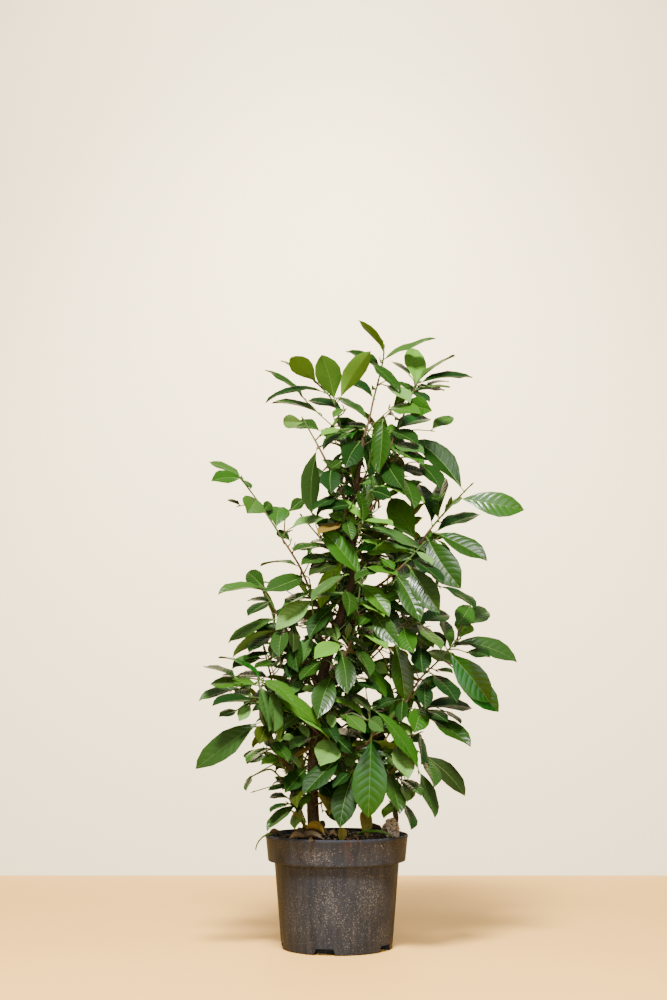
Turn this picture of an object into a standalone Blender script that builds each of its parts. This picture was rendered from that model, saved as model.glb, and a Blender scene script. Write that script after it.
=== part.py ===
"""A young cherry laurel in a black plastic nursery pot.

The pot stands on its flat underside with the origin at the centre of that face. X runs to the right
as the plant is seen from the front, Y runs away from the viewer and Z runs up. One leaning trunk
rises from the root ball, boughs leave it on all sides, and each bough or trunk node carries one
leafy shoot. The leaves of a shoot are set by how they are seen from the front: which way each one
points, and how long and how wide it looks. Shoots at the back set theirs by turning two fifths of
a turn from leaf to leaf.
"""

import math
import random

import bmesh
import bpy
from mathutils import Matrix, Vector
from mathutils.bvhtree import BVHTree

MM = 0.001
GAP = 0.3  # clearance between neighbouring pieces, mm

# Pot: a five litre nursery pot with a deep collar.
RIM_RADIUS = 115.0
COLLAR_FOOT_RADIUS = 111.0
COLLAR_HEIGHT = 42.0
BODY_TOP_RADIUS = 100.5
BASE_RADIUS = 89.3
POT_HEIGHT = 179.0
WALL = 2.0
RIM_ROLL = 1.6
FLOOR = 3.0
CHANNEL_FLOOR = 14.0  # height of the inside floor above the drain channels
CHANNEL_RADIUS = 60.0  # the raised ring of floor runs outwards from here
CHANNEL_COUNT = 5
CHANNEL_WIDTH = 35.0
CHANNEL_TOP_WIDTH = 29.0
CHANNEL_HEIGHT = 10.0
CHANNEL_DEPTH = 22.0
CHANNEL_PHASE = -12.6  # degrees from the front, to the left
POT_STEPS = 44

# Root ball: the compost that fills the pot.
SOIL_LEVEL = 168.0
SOIL_EDGE = ((0.4, 5.0), (5.4, 1.0), (14.4, 0.0))  # in from the wall, down from the level top

SPANS = 2  # straight lengths of a limb between two of the points that it passes
SEAT_REACH = 40.0  # a limb comes clear of what carries it within this length
SEAT_STEPS = 18

# Trunk: the heights at which its place across and its radius are set.
TRUNK_SIDES = 9
TRUNK = (
    # across, back, height, radius
    (-34, 8, SOIL_LEVEL + GAP, 15.0),
    (-36, 8, 182, 11.5),
    (-39, 8, 215, 9.8),
    (-39, 6, 281, 9.2),
    (-34, 4, 345, 8.8),
    (-26, 2, 423, 8.4),
    (-4, 0, 494, 7.8),
    (14, 0, 557, 7.4),
    (27, 0, 598, 6.8),
    (25, 2, 650, 6.0),
    (26, 2, 705, 5.2),
    (35, 0, 762, 4.2),
    (45, 0, 826, 3.2),
)

# Boughs: the height on the trunk where each starts, the points it passes, and its radii.
BOUGH_SIDES = 5
BOUGHS = {
    "left_bough": (512, ((-28, -10, 542), (-45, -14, 575)), 3.4, 2.2),
    "left_second_bough": (405, ((-59, -30, 474), (-85, -38, 512)), 3.2, 1.9),
    "left_inner_bough": (452, ((-24, -34, 486), (-32, -42, 508)), 2.8, 1.8),
    "left_pale_bough": (330, ((-72, -14, 368), (-102, -10, 405)), 2.8, 1.7),
    "left_front_bough": (262, ((-62, -60, 276), (-90, -92, 306)), 3.4, 2.0),
    "left_low_bough": (236, ((-54, -30, 243), (-70, -58, 252)), 2.6, 1.6),
    "front_low_bough": (278, ((-8, -60, 300), (46, -104, 326)), 3.4, 2.2),
    "low_right_bough": (238, ((16, -36, 254), (74, -72, 272)), 3.2, 1.8),
    "right_mid_bough": (296, ((20, -22, 316), (76, -54, 344), (104, -60, 378)), 3.8, 2.3),
    "right_inner_bough": (418, ((36, -12, 452), (82, -26, 494)), 3.0, 1.8),
    "front_bough": (392, ((-10, -34, 420), (6, -52, 446)), 3.6, 2.6),
    "right_centre_bough": (545, ((44, -42, 562), (78, -70, 584)), 3.0, 1.9),
    "right_bough": (490, ((40, -14, 524), (75, -28, 563), (122, -36, 632)), 3.8, 2.1),
    "upper_right_bough": (668, ((40, -22, 684), (54, -44, 700)), 2.4, 1.6),
    "top_right_bough": (650, ((46, -10, 694), (62, -18, 730), (72, -20, 766)), 3.2, 2.2),
    "upper_left_bough": (690, ((10, -14, 728), (-8, -28, 764)), 2.8, 1.8),
    "second_stem": (715, ((18, 16, 742), (15, 20, 776)), 2.8, 2.3),
}

# Shoots: what carries each one, the points that its stem passes, the true length of its larger
# leaves, and its leaves from the foot of the stem to the tip. A leaf is the way it points seen from
# the front, in degrees up from the right, and the length and width that are seen, in millimetres.
# A width below zero shows the underside.
SHOOT_SIDES = 3
SHOOTS = {
    "front_low_leaves": (
        "front_low_bough", ((55, -110, 340), (50, -112, 372)), 120,
        ((269, 119, 54), (305, 45, 24), (163, 54, 15), (306, 105, 22), (153, 80, 14)),
    ),
    "centre_low_leaves": (
        306, ((-27, -22, 322), (-14, -46, 342), (-6, -58, 350)), 95,
        ((240, 42, 22), (258, 93, 46), (221, 73, 35), (215, 38, 12), (251, 46, 42)),
    ),
    "foot_leaves": (
        222, ((-20, -34, 234), (6, -66, 262), (22, -84, 280)), 100,
        ((205, 60, 20), (225, 50, 22), (290, 50, 20), (258, 93, 46)),
    ),
    "low_right_leaves": (
        "low_right_bough", ((93, -80, 291), (106, -82, 312), (116, -82, 326)), 90,
        (
            (284, 64, 34), (287, 44, 16), (290, 82, 28), (285, 57, 38), (314, 92, 28),
            (291, 52, 18),
        ),
    ),
    "left_front_leaves": (
        "left_front_bough",
        ((-104, -100, 332), (-116, -102, 363), (-118, -102, 394), (-123, -102, 424)), 95,
        (
            (215, 36, 14), (275, 36, 20), (217, 116, 34), (348, 87, 14), (196, 50, 14),
            (188, 67, 18), (334, 93, 25), (192, 88, 18), (172, 72, 19), (285, 80, 31),
            (333, 61, 18), (165, 88, 14), (152, 70, 14),
        ),
    ),
    "left_depth_leaves": (
        352, ((-62, 20, 380), (-96, 30, 404)), 84,
        (
            (290, 55, 26), (250, 60, 28), (310, 45, 20), (230, 65, 24), (170, 50, 18),
            (90, 40, 24), (200, 60, 20),
        ),
    ),
    "right_depth_leaves": (
        322, ((10, 22, 350), (60, 34, 385), (104, 38, 418)), 95,
        (
            (240, 70, 30), (280, 80, 36), (110, 46, 22), (300, 85, 34), (200, 50, 16),
            (320, 80, 30), (265, 75, 34), (340, 60, 20), (80, 50, 24),
        ),
    ),
    "left_low_leaves": (
        "left_low_bough", ((-84, -76, 266), (-104, -86, 286), (-132, -88, 276)), 75,
        (
            (222, 66, 25), (262, 42, 34), (205, 40, 14), (204, 50, 10), (209, 52, 18),
            (255, 26, 10),
        ),
    ),
    "right_mid_leaves": (
        "right_mid_bough",
        ((118, -60, 404), (135, -60, 430), (158, -60, 452), (184, -60, 480), (194, -60, 494)), 105,
        (
            (325, 78, 22), (246, 46, 38), (0, 75, 19), (273, 60, 20), (194, 46, 16),
            (310, 61, 20), (206, 50, 28), (317, 102, 26), (307, 102, 46), (136, 48, 28),
            (343, 95, 28), (110, 30, 14), (10, 34, 14),
        ),
    ),
    "front_leaves": (
        "front_bough", ((15, -60, 470), (27, -62, 500), (32, -62, 530), (39, -60, 588)), 85,
        (
            (253, 70, 34), (303, 72, 20), (273, 62, 33), (292, 51, 22), (200, 38, 22),
            (334, 44, 16), (335, 50, -22), (318, 66, 26), (132, 98, 27),
        ),
    ),
    "left_inner_leaves": (
        "left_inner_bough", ((-38, -48, 532), (-42, -54, 572)), 85,
        (
            (251, 67, 22), (332, 46, 18), (249, 48, 38), (230, 75, 22), (221, 72, 29),
            (204, 47, 16),
        ),
    ),
    "right_centre_leaves": (
        "right_centre_bough", ((108, -80, 610), (136, -82, 640)), 100,
        (
            (292, 80, 38), (180, 68, 34), (300, 34, 24), (166, 64, 14), (304, 87, 41),
            (157, 98, 20), (322, 88, 22),
        ),
    ),
    "right_high_leaves": (
        "right_bough", ((142, -40, 656), (165, -42, 685), (206, -42, 729), (217, -42, 740)), 108,
        (
            (124, 83, 41), (303, 95, 41), (119, 74, 32), (329, 90, 32), (21, 75, 25),
            (82, 68, -27), (128, 59, 18), (134, 106, 32), (349, 98, 35),
        ),
    ),
    "right_inner_leaves": (
        "right_inner_bough", ((110, -32, 520), (138, -32, 548)), 95,
        (
            (280, 90, 34), (298, 46, 34), (316, 60, 20), (120, 55, 28), (330, 52, 28),
            (347, 58, 24),
        ),
    ),
    "left_centre_leaves": (
        478, ((-42, 6, 516), (-60, 10, 552)), 92,
        (
            (195, 60, 18), (250, 70, 30), (215, 70, 26), (265, 60, 26), (175, 60, 16),
            (235, 75, 30), (150, 50, 18),
        ),
    ),
    "inner_front_leaves": (
        560, ((4, -50, 566), (-4, -74, 592)), 90,
        ((280, 60, 28), (240, 75, 30), (200, 60, 18), (258, 70, 32), (170, 56, 16)),
    ),
    "low_front_leaves": (
        352, ((0, -30, 368), (34, -56, 388)), 92,
        ((190, 66, 20), (270, 66, 30), (300, 78, 30), (20, 60, 18), (330, 70, 22), (350, 62, 18)),
    ),
    "left_mid_leaves": (
        "left_second_bough", ((-96, -40, 532), (-110, -42, 556), (-121, -42, 572)), 90,
        (
            (210, 70, 18), (196, 46, 16), (205, 86, 15), (208, 44, 16), (186, 70, 15),
            (235, 60, 24), (30, 42, 18), (127, 45, -28),
        ),
    ),
    "left_pale_leaves": (
        "left_pale_bough", ((-109, -10, 439), (-118, -8, 474)), 76,
        (
            (240, 54, 24), (35, 42, 20), (205, 62, 26), (190, 50, 14), (172, 44, 22),
            (218, 42, 24), (60, 36, 18), (150, 38, 18),
        ),
    ),
    "left_high_leaves": (
        "left_bough",
        ((-62, -18, 613), (-88, -22, 654), (-109, -22, 687), (-137, -20, 728), (-157, -18, 754)), 75,
        (
            (180, 36, 16), (29, 57, 19), (215, 68, 22), (24, 44, 14), (180, 62, 13),
            (45, 34, 16), (222, 30, 20), (24, 42, 22), (200, 46, 34), (165, 34, 12),
            (182, 48, 19), (155, 57, 10),
        ),
    ),
    "centre_leaves": (
        632, ((14, -20, 646), (10, -34, 676), (14, -40, 700)), 85,
        (
            (169, 83, 14), (170, 44, 16), (215, 46, 28), (190, 76, 20), (160, 48, 20),
            (138, 43, 18),
        ),
    ),
    "upper_right_leaves": (
        "upper_right_bough", ((67, -50, 718), (84, -52, 746)), 92,
        (
            (355, 50, 16), (300, 72, 34), (342, 76, 14), (280, 60, 30), (58, 44, 38),
            (328, 80, 30), (20, 56, 22),
        ),
    ),
    "top_centre_leaves": (
        735, ((48, -30, 762), (56, -50, 792)), 92,
        ((285, 74, 32), (240, 60, 28), (330, 70, 26), (302, 80, 34), (20, 60, 20), (70, 50, 26)),
    ),
    "upper_left_leaves": (
        "upper_left_bough", ((-27, -30, 801), (-39, -30, 823), (-54, -28, 850)), 100,
        (
            (203, 58, 22), (300, 38, 18), (265, 100, -28), (10, 36, 16), (190, 60, 22),
            (205, 50, 24),
        ),
    ),
    "top_right_leaves": (
        "top_right_bough", ((84, -20, 797), (100, -20, 836), (116, -18, 874), (128, -16, 904)), 104,
        (
            (330, 55, 22), (35, 62, 24), (23, 92, 22), (338, 48, 34), (140, 42, -25),
            (134, 102, 22), (131, 49, 14), (354, 48, 16), (38, 81, 12), (10, 94, 13),
            (91, 64, 35),
        ),
    ),
    "top_left_leaves": (
        "second_stem", ((12, 20, 812), (6, 18, 850), (-6, 14, 890), (-34, 10, 920)), 92,
        (
            (262, 50, 32), (163, 54, 16), (167, 74, 14), (150, 84, 15), (56, 87, 32),
            (192, 92, 14), (105, 74, -40), (136, 56, -35),
        ),
    ),
    "leader_leaves": (
        "trunk", ((54, 0, 856), (61, 0, 889), (69, 0, 920), (77, 0, 954), (79, 0, 976)), 92,
        (
            (227, 55, 34), (276, 62, 28), (205, 60, 16), (288, 76, 30), (152, 58, 14),
            (335, 57, 18), (153, 56, 15), (152, 62, 14), (22, 92, 14), (133, 64, -16),
        ),
    ),
}

# Shoots on the far side: the height on the trunk, the stem's points, leaf length and leaf count.
BACK_SHOOTS = {
    "back_low_left_leaves": (300, ((-70, 60, 320), (-112, 124, 356)), 92, 8),
    "back_low_right_leaves": (276, ((14, 66, 300), (60, 138, 338)), 94, 9),
    "back_left_leaves": (424, ((-64, 60, 462), (-108, 132, 512)), 90, 8),
    "back_right_leaves": (404, ((40, 64, 446), (104, 136, 506)), 96, 9),
    "back_centre_leaves": (520, ((20, 66, 548), (36, 148, 590)), 92, 8),
    "back_high_left_leaves": (618, ((-18, 58, 654), (-60, 126, 708)), 86, 8),
    "back_high_right_leaves": (604, ((78, 56, 646), (134, 126, 698)), 92, 8),
    "back_top_leaves": (742, ((56, 52, 774), (82, 104, 822)), 82, 8),
}
TWO_FIFTHS = 144.0  # degrees round the stem from one leaf to the next
BACK_SPREAD = 58.0  # degrees between the stem and a leaf of a far shoot
BACK_CHANCE = (20.0, 10.0)  # degrees by which luck turns such a leaf round its stem and spreads it
BACK_SIZES = (0.86, 0.82)  # middle length and width of such leaves, against the shoot's largest

# Leaves: shares of their own length.
LEAF_STATIONS = ((0.24, 0.76), (0.52, 1.0), (0.80, 0.66))  # place along it, share of its width
LEAF_WIDTH = 0.46
SEEN_WIDENING = 1.2  # few faces make an oval leaf look slimmer than it is
LEAF_THICKNESS = 0.016
LEAST_FORESHORTENING = 0.62  # a leaf that looks shorter than this is a smaller leaf, not a leaning one
STALK_RADIUS = 1.0
LEAF_CLEARANCE = 0.45
OUTER_START = 0.6  # a leaf keeps clear of those on its own stem from here on, of its first part
STEM_RADII = (1.9, 1.2)
DROOP = (14.0, 42.0)  # least and most bend of a blade from root to tip, degrees
FIRST_LEAF = 0.16  # places of a shoot's lowest and highest leaf along its stem
LAST_LEAF = 0.985
SHIFTS = (
    (0, 0), (0, 9), (0, -9), (4, 0), (-4, 0), (4, 12), (-4, -12), (0, 20), (0, -20), (7, 6),
    (-7, -6), (7, -16), (-7, 16), (0, 32), (0, -32), (11, 10), (-11, -10), (11, -24), (-11, 24),
)  # the turns, aside and towards the viewer, that a leaf tries until it is clear

# Litter that lies on the compost.
CLUMP_SIZE = (15.0, 13.0, 19.0)
CLUMP_PLACE = (89.0, 24.0)
CLUMP_ROUGHNESS = 0.13
CLUMP_FOOT = 4.0  # how much of its underside is flat
LITTER_LEVEL = SOIL_LEVEL + GAP + STALK_RADIUS
FALLEN = {
    # root, the way it points seen from above, rise from root to tip, length, width, droop
    "fallen_green_leaf": ((22, -58, LITTER_LEVEL), 356, 2, 72, 24, 76),
    "fallen_brown_leaf": ((-10, -60, LITTER_LEVEL), 172, 2, 74, 30, 80),
    "fallen_dead_leaf": ((-18, -92, LITTER_LEVEL), 164, 3, 58, 22, 66),
    "rim_leaf": ((-98, -32, 181.1), 184, -40, 46, 20, 96),
}

SEED = 41
NAME = "potted_cherry_laurel"
VIEWER = Vector((0, -1, 0))
UP = Vector((0, 0, 1))

COLOURS = {
    "pot": (0.075, 0.062, 0.052, 0.55),
    "compost": (0.055, 0.035, 0.022, 0.95),
    "bark": (0.13, 0.065, 0.032, 0.8),
    "leaf": (0.035, 0.13, 0.012, 0.35),
    "new_leaf": (0.13, 0.33, 0.03, 0.4),
    "litter": (0.26, 0.12, 0.05, 0.8),
}
NEW_GROWTH = ("left_front_leaves", "right_mid_leaves", "top_right_leaves")


def clear_scene():
    for thing in list(bpy.data.objects):
        bpy.data.objects.remove(thing, do_unlink=True)


def new_collection(name):
    collection = bpy.data.collections.new(name)
    bpy.context.scene.collection.children.link(collection)
    return collection


def material(name):
    red, green, blue, roughness = COLOURS[name]
    made = bpy.data.materials.new(name)
    made.use_nodes = True
    shader = made.node_tree.nodes["Principled BSDF"]
    shader.inputs["Base Color"].default_value = (red, green, blue, 1.0)
    shader.inputs["Roughness"].default_value = roughness
    shader.inputs["Metallic"].default_value = 0.0
    return made


def new_object(name, mesh, collection, colour):
    made = bpy.data.objects.new(name, mesh)
    collection.objects.link(made)
    mesh.materials.clear()
    mesh.materials.append(material(colour))
    return made


def shade(obj):
    obj.data.shade_smooth()
    obj.data.set_sharp_from_angle(angle=math.radians(35))


def apply_modifiers(obj):
    """The object with its modifiers worked into its mesh."""
    graph = bpy.context.evaluated_depsgraph_get()
    mesh = bpy.data.meshes.new_from_object(obj.evaluated_get(graph))
    obj.modifiers.clear()
    obj.data = mesh


def turned(name, profile, collection, colour):
    """A solid turned from (radius, height) points that run down its outer side."""
    mesh = bpy.data.meshes.new(name)
    points = [(radius * MM, 0, height * MM) for radius, height in profile]
    mesh.from_pydata(points, [(i, i + 1) for i in range(len(points) - 1)], [])
    made = new_object(name, mesh, collection, colour)
    screw = made.modifiers.new("turn", "SCREW")
    screw.steps = POT_STEPS
    screw.render_steps = POT_STEPS
    screw.use_merge_vertices = True
    screw.merge_threshold = 0.00001
    screw.use_smooth_shade = True
    return made


def inner_profile(inset):
    """The pot's inside from the centre of the floor to the rim, moved in by an inset.

    The floor steps up near the wall, over the drain channels, and the wall steps out at the collar.
    """
    collar_foot = POT_HEIGHT - COLLAR_HEIGHT
    step = collar_foot + WALL
    return [
        (0, FLOOR + inset),
        (CHANNEL_RADIUS - inset, FLOOR + inset),
        (CHANNEL_RADIUS + 2 - inset, CHANNEL_FLOOR + inset),
        (BASE_RADIUS - WALL - inset, CHANNEL_FLOOR + inset),
        (BODY_TOP_RADIUS - WALL - inset, step + inset),
        (COLLAR_FOOT_RADIUS - WALL - inset, step + 1.5 + inset),
        (RIM_RADIUS - WALL - inset, POT_HEIGHT - RIM_ROLL),
    ]


def pot(collection, cutters):
    """A thin moulded pot whose edges are eased by a millimetre or so, with channels under its foot."""
    collar_foot = POT_HEIGHT - COLLAR_HEIGHT
    outside = [
        (RIM_RADIUS - WALL / 2, POT_HEIGHT),
        (RIM_RADIUS - 0.3, POT_HEIGHT - 0.5),
        (RIM_RADIUS, POT_HEIGHT - RIM_ROLL),
        (COLLAR_FOOT_RADIUS, collar_foot + 3),
        (COLLAR_FOOT_RADIUS - 1, collar_foot + 0.8),
        (COLLAR_FOOT_RADIUS - 3, collar_foot),
        (BODY_TOP_RADIUS, collar_foot - 1),
        (BASE_RADIUS, 2.5),
        (BASE_RADIUS - 0.8, 0.7),
        (BASE_RADIUS - 2.6, 0),
        (0, 0),
    ]
    made = turned("pot", inner_profile(0) + outside, collection, "pot")
    for index in range(CHANNEL_COUNT):
        mesh = bpy.data.meshes.new("channel")
        cutter = bpy.data.objects.new(f"channel_{index}", mesh)
        cutters.objects.link(cutter)
        shape = bmesh.new()
        bmesh.ops.create_cube(shape, size=1.0)
        for vert in shape.verts:
            width = 2 * CHANNEL_WIDTH - CHANNEL_TOP_WIDTH if vert.co.z < 0 else CHANNEL_TOP_WIDTH
            vert.co.x *= width * MM
            vert.co.y *= 2 * CHANNEL_DEPTH * MM
            vert.co.z *= 2 * CHANNEL_HEIGHT * MM
        turn = math.radians(CHANNEL_PHASE + 360 * index / CHANNEL_COUNT)
        bmesh.ops.translate(shape, vec=(0, -BASE_RADIUS * MM, 0), verts=shape.verts)
        bmesh.ops.rotate(shape, cent=(0, 0, 0), matrix=Matrix.Rotation(turn, 3, "Z"), verts=shape.verts)
        shape.to_mesh(mesh)
        shape.free()
        cutter.hide_render = True
        cutter.display_type = "WIRE"
        cut = made.modifiers.new(f"channel_{index}", "BOOLEAN")
        cut.operation = "DIFFERENCE"
        cut.object = cutter
    return made


def root_ball(collection):
    """Compost that fills the pot to just under its rim, with a level top where the trunk stands."""
    profile = inner_profile(GAP)[:-1]
    spread = RIM_RADIUS - COLLAR_FOOT_RADIUS
    share = (SOIL_LEVEL - (POT_HEIGHT - COLLAR_HEIGHT)) / COLLAR_HEIGHT
    wall = COLLAR_FOOT_RADIUS - WALL - GAP + spread * share
    top = [(wall - inward, SOIL_LEVEL - down) for inward, down in SOIL_EDGE] + [(0, SOIL_LEVEL)]
    outline = list(reversed(profile + top))
    return turned("root_ball", outline, collection, "compost")


def smooth_path(points, spans):
    """Points on a smooth curve through the given ones, with a number of spans between each two."""
    marks = [Vector(point) for point in points]
    ends = [2 * marks[0] - marks[1]] + marks + [2 * marks[-1] - marks[-2]]
    path = []
    for before, first, second, after in zip(ends, ends[1:], ends[2:], ends[3:]):
        for step in range(spans):
            t = step / spans
            path.append(
                0.5 * (
                    2 * first
                    + (second - before) * t
                    + (2 * before - 5 * first + 4 * second - after) * t * t
                    + (3 * first - before - 3 * second + after) * t ** 3
                )
            )
    return path + [marks[-1]]


def along(path, share):
    """The point and the direction at a share of the way along a path."""
    lengths = [0.0]
    for first, second in zip(path, path[1:]):
        lengths.append(lengths[-1] + (second - first).length)
    wanted = share * lengths[-1]
    for index, (first, second) in enumerate(zip(path, path[1:])):
        if wanted <= lengths[index + 1] or index == len(path) - 2:
            local = (wanted - lengths[index]) / (lengths[index + 1] - lengths[index])
            return first.lerp(second, local), (second - first).normalized()
    return path[-1], (path[-1] - path[-2]).normalized()


def limb(path, radii, sides, first_heading=None):
    """Rings of a tapering limb round a path in millimetres, and its faces."""
    points = []
    side = None
    for index, centre in enumerate(path):
        before = path[max(index - 1, 0)]
        after = path[min(index + 1, len(path) - 1)]
        heading = (after - before).normalized()
        if index == 0 and first_heading:
            heading = first_heading
        if side is None:
            side = heading.orthogonal().normalized()
        side = (side - side.dot(heading) * heading).normalized()
        other = heading.cross(side)
        for corner in range(sides):
            angle = 2 * math.pi * corner / sides
            points.append(centre + radii[index] * (math.cos(angle) * side + math.sin(angle) * other))
    faces = [tuple(reversed(range(sides)))]
    for ring in range(len(path) - 1):
        for corner in range(sides):
            low = ring * sides + corner
            beside = ring * sides + (corner + 1) % sides
            faces.append((low, beside, beside + sides, low + sides))
    faces.append(tuple(range(len(points) - sides, len(points))))
    return points, faces


def tapered(count, first, last):
    return [first + (last - first) * index / (count - 1) for index in range(count)]


def tree_of(solid):
    return BVHTree.FromPolygons([tuple(p) for p in solid[0]], solid[1], epsilon=0.0)


def seated_path(path, radii, sides, carrier):
    """The path with its start moved along it until the limb is just clear of what carries it."""
    inside, outside = 0.0, SEAT_REACH
    heading = (path[1] - path[0]).normalized()
    for _ in range(SEAT_STEPS):
        middle = (inside + outside) / 2
        start = path[0] + heading * (middle - GAP)
        if tree_of(limb([start] + path[1:], radii, sides)).overlap(carrier):
            inside = middle
        else:
            outside = middle
    return [path[0] + heading * outside] + path[1:]


def blade(root, chord, face, length, width, droop, grow=0.0):
    """A leaf as a solid: a root, three cross-sections of three corners each, and a tip.

    Its chord runs from root to tip, and the blade bows evenly over it towards the side it faces.
    Its midrib stands out below.
    """
    across = face.cross(chord).normalized()
    bend = math.radians(droop)
    heading = math.cos(bend / 2) * chord + math.sin(bend / 2) * face
    normal = math.cos(bend / 2) * face - math.sin(bend / 2) * chord
    half = STALK_RADIUS + grow
    points = [root + half * across, root - half * across, root - 1.4 * half * normal]
    for place, share in LEAF_STATIONS:
        angle = bend * place
        centre = root + length / bend * (math.sin(angle) * heading - (1 - math.cos(angle)) * normal)
        above = math.cos(angle) * normal + math.sin(angle) * heading
        reach = share * width / 2 + grow
        middle = centre + grow * above
        points += [middle + reach * across, middle - reach * across]
        points.append(centre - (LEAF_THICKNESS * length + grow) * above)
    tip = root + length / bend * (math.sin(bend) * heading - (1 - math.cos(bend)) * normal)
    points.append(tip + grow * heading)
    faces = [(2, 1, 0)]
    for ring in range(len(LEAF_STATIONS)):
        for corner in range(3):
            low = 3 * ring + corner
            beside = 3 * ring + (corner + 1) % 3
            faces += [(low, beside, beside + 3), (low, beside + 3, low + 3)]
    last = 3 * len(LEAF_STATIONS)
    faces += [(last + corner, last + (corner + 1) % 3, last + 3) for corner in range(3)]
    return points, faces


def seen_leaf(bearing, seen_length, seen_width, blade_length, shift):
    """Heading and normal of a leaf that looks this long and this wide from the front.

    A leaf looks short when it leans towards the viewer or away, and narrow when it is turned
    edge on. Of the two ways to lean, it takes the one that holds its upper side to the sky.
    """
    aside, lean = shift
    seen_width *= SEEN_WIDENING
    length = min(max(blade_length, seen_length), seen_length / LEAST_FORESHORTENING)
    full_width = max(LEAF_WIDTH * length, abs(seen_width))
    angle = math.radians(bearing + aside)
    flat = Vector((math.cos(angle), 0, math.sin(angle)))
    tilt = math.acos(min(1.0, seen_length / length))
    shows_top = seen_width > 0
    towards = 1 if (flat.z < 0) == shows_top else -1
    tilt = towards * tilt + math.radians(lean)
    heading = math.cos(tilt) * flat + math.sin(tilt) * VIEWER
    facing = (VIEWER - VIEWER.dot(heading) * heading).normalized()
    upright = heading.cross(facing).normalized()
    if upright.z < 0:
        upright = -upright
    turn = math.acos(min(1.0, abs(seen_width) / full_width))
    normal = math.cos(turn) * (facing if shows_top else -facing) + math.sin(turn) * upright
    return heading, normal, length, full_width


def far_leaf(stem_heading, index, blade_length, shift, chance):
    """Heading and normal of a leaf set two fifths of a turn from the one before."""
    aside, lean = shift
    side = stem_heading.orthogonal().normalized()
    angle = TWO_FIFTHS * index + 2 * aside + chance[0] * BACK_CHANCE[0]
    outward = Matrix.Rotation(math.radians(angle), 3, stem_heading) @ side
    spread = math.radians(BACK_SPREAD + 0.6 * lean + chance[1] * BACK_CHANCE[1])
    heading = (math.cos(spread) * stem_heading + math.sin(spread) * outward).normalized()
    normal = UP - UP.dot(heading) * heading
    if normal.length < 0.2:
        normal = -(VIEWER - VIEWER.dot(heading) * heading)
    size, fullness = BACK_SIZES
    length = blade_length * (size + (1 - size) * chance[2])
    width = LEAF_WIDTH * length * (fullness + (1 - fullness) * chance[3])
    return heading, normal.normalized(), length, width


def box_of(points):
    low = [min(p[axis] for p in points) for axis in range(3)]
    high = [max(p[axis] for p in points) for axis in range(3)]
    return low, high


def boxes_meet(first, second):
    return all(first[0][a] <= second[1][a] and second[0][a] <= first[1][a] for a in range(3))


class Crown:
    """What has grown so far, so that a new leaf can keep clear of it."""

    def __init__(self):
        self.grown = []

    def add(self, owner, solid, kind):
        self.grown.append((owner, kind, box_of(solid[0]), tree_of(solid)))

    def touches(self, owner, solid, kinds=("limb", "leaf"), own=False):
        box = box_of(solid[0])
        tree = None
        for other, kind, other_box, other_tree in self.grown:
            if (other == owner) != own or kind not in kinds or not boxes_meet(box, other_box):
                continue
            tree = tree or tree_of(solid)
            if tree.overlap(other_tree):
                return True
        return False


def outer_part(solid):
    """A leaf without its root, to test it against its neighbours on the same stem."""
    points, faces = solid
    middle = [points[corner].lerp(points[corner + 3], OUTER_START) for corner in range(3)]
    return middle + points[3:], faces


def grow_leaf(crown, owner, root, choose):
    """The first of the leaf's possible turns that keeps it clear, or nothing."""
    for shift in SHIFTS:
        heading, normal, length, width, droop = choose(shift)
        roomy = blade(root, heading, normal, length, width, droop, grow=LEAF_CLEARANCE)
        if crown.touches(owner, roomy):
            continue
        if crown.touches(owner, outer_part(roomy), kinds=("outer",), own=True):
            continue
        solid = blade(root, heading, normal, length, width, droop)
        crown.add(owner, solid, "leaf")
        crown.add(owner, outer_part(solid), "outer")
        return solid
    return None


def mesh_object(name, solid, collection, colour):
    mesh = bpy.data.meshes.new(name)
    mesh.from_pydata([tuple(p * MM) for p in solid[0]], [], solid[1])
    return new_object(name, mesh, collection, colour)


def drop_scraps(obj):
    """Keeps the largest connected part of a joined mesh."""
    shape = bmesh.new()
    shape.from_mesh(obj.data)
    left = set(shape.verts)
    parts = []
    while left:
        part, edge = set(), [left.pop()]
        while edge:
            vert = edge.pop()
            part.add(vert)
            for link in vert.link_edges:
                other = link.other_vert(vert)
                if other in left:
                    left.discard(other)
                    edge.append(other)
        parts.append(part)
    parts.sort(key=len)
    scraps = [vert for part in parts[:-1] for vert in part]
    bmesh.ops.delete(shape, geom=scraps, context="VERTS")
    bmesh.ops.triangulate(shape, faces=shape.faces)
    shape.to_mesh(obj.data)
    shape.free()


def fuse(name, stem, leaves, collection, colour):
    """One solid from a stem and the leaves whose roots are sunk in it."""
    made = mesh_object(name, stem, collection, colour)
    loose = new_collection(name + "_loose")
    for index, leaf in enumerate(leaves):
        mesh_object(f"{name}_{index}", leaf, loose, colour)
    join = made.modifiers.new("join", "BOOLEAN")
    join.operation = "UNION"
    join.operand_type = "COLLECTION"
    join.collection = loose
    join.solver = "EXACT"
    apply_modifiers(made)
    for thing in list(loose.objects):
        bpy.data.objects.remove(thing, do_unlink=True)
    bpy.data.collections.remove(loose)
    drop_scraps(made)
    return made


def trunk_point(height):
    """The middle of the trunk at a height."""
    path = smooth_path([station[:3] for station in TRUNK], SPANS)
    for first, second in zip(path, path[1:]):
        if first.z <= height <= second.z:
            return first.lerp(second, (height - first.z) / (second.z - first.z))
    return path[-1]


def trunk_limb():
    path = smooth_path([station[:3] for station in TRUNK], SPANS)
    widths = smooth_path([(station[3], 0, 0) for station in TRUNK], SPANS)
    path[0].z = SOIL_LEVEL + GAP
    solid = limb(path, [width.x for width in widths], TRUNK_SIDES)
    for corner in range(TRUNK_SIDES):
        solid[0][corner].z = SOIL_LEVEL + GAP
    return path, solid


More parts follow.
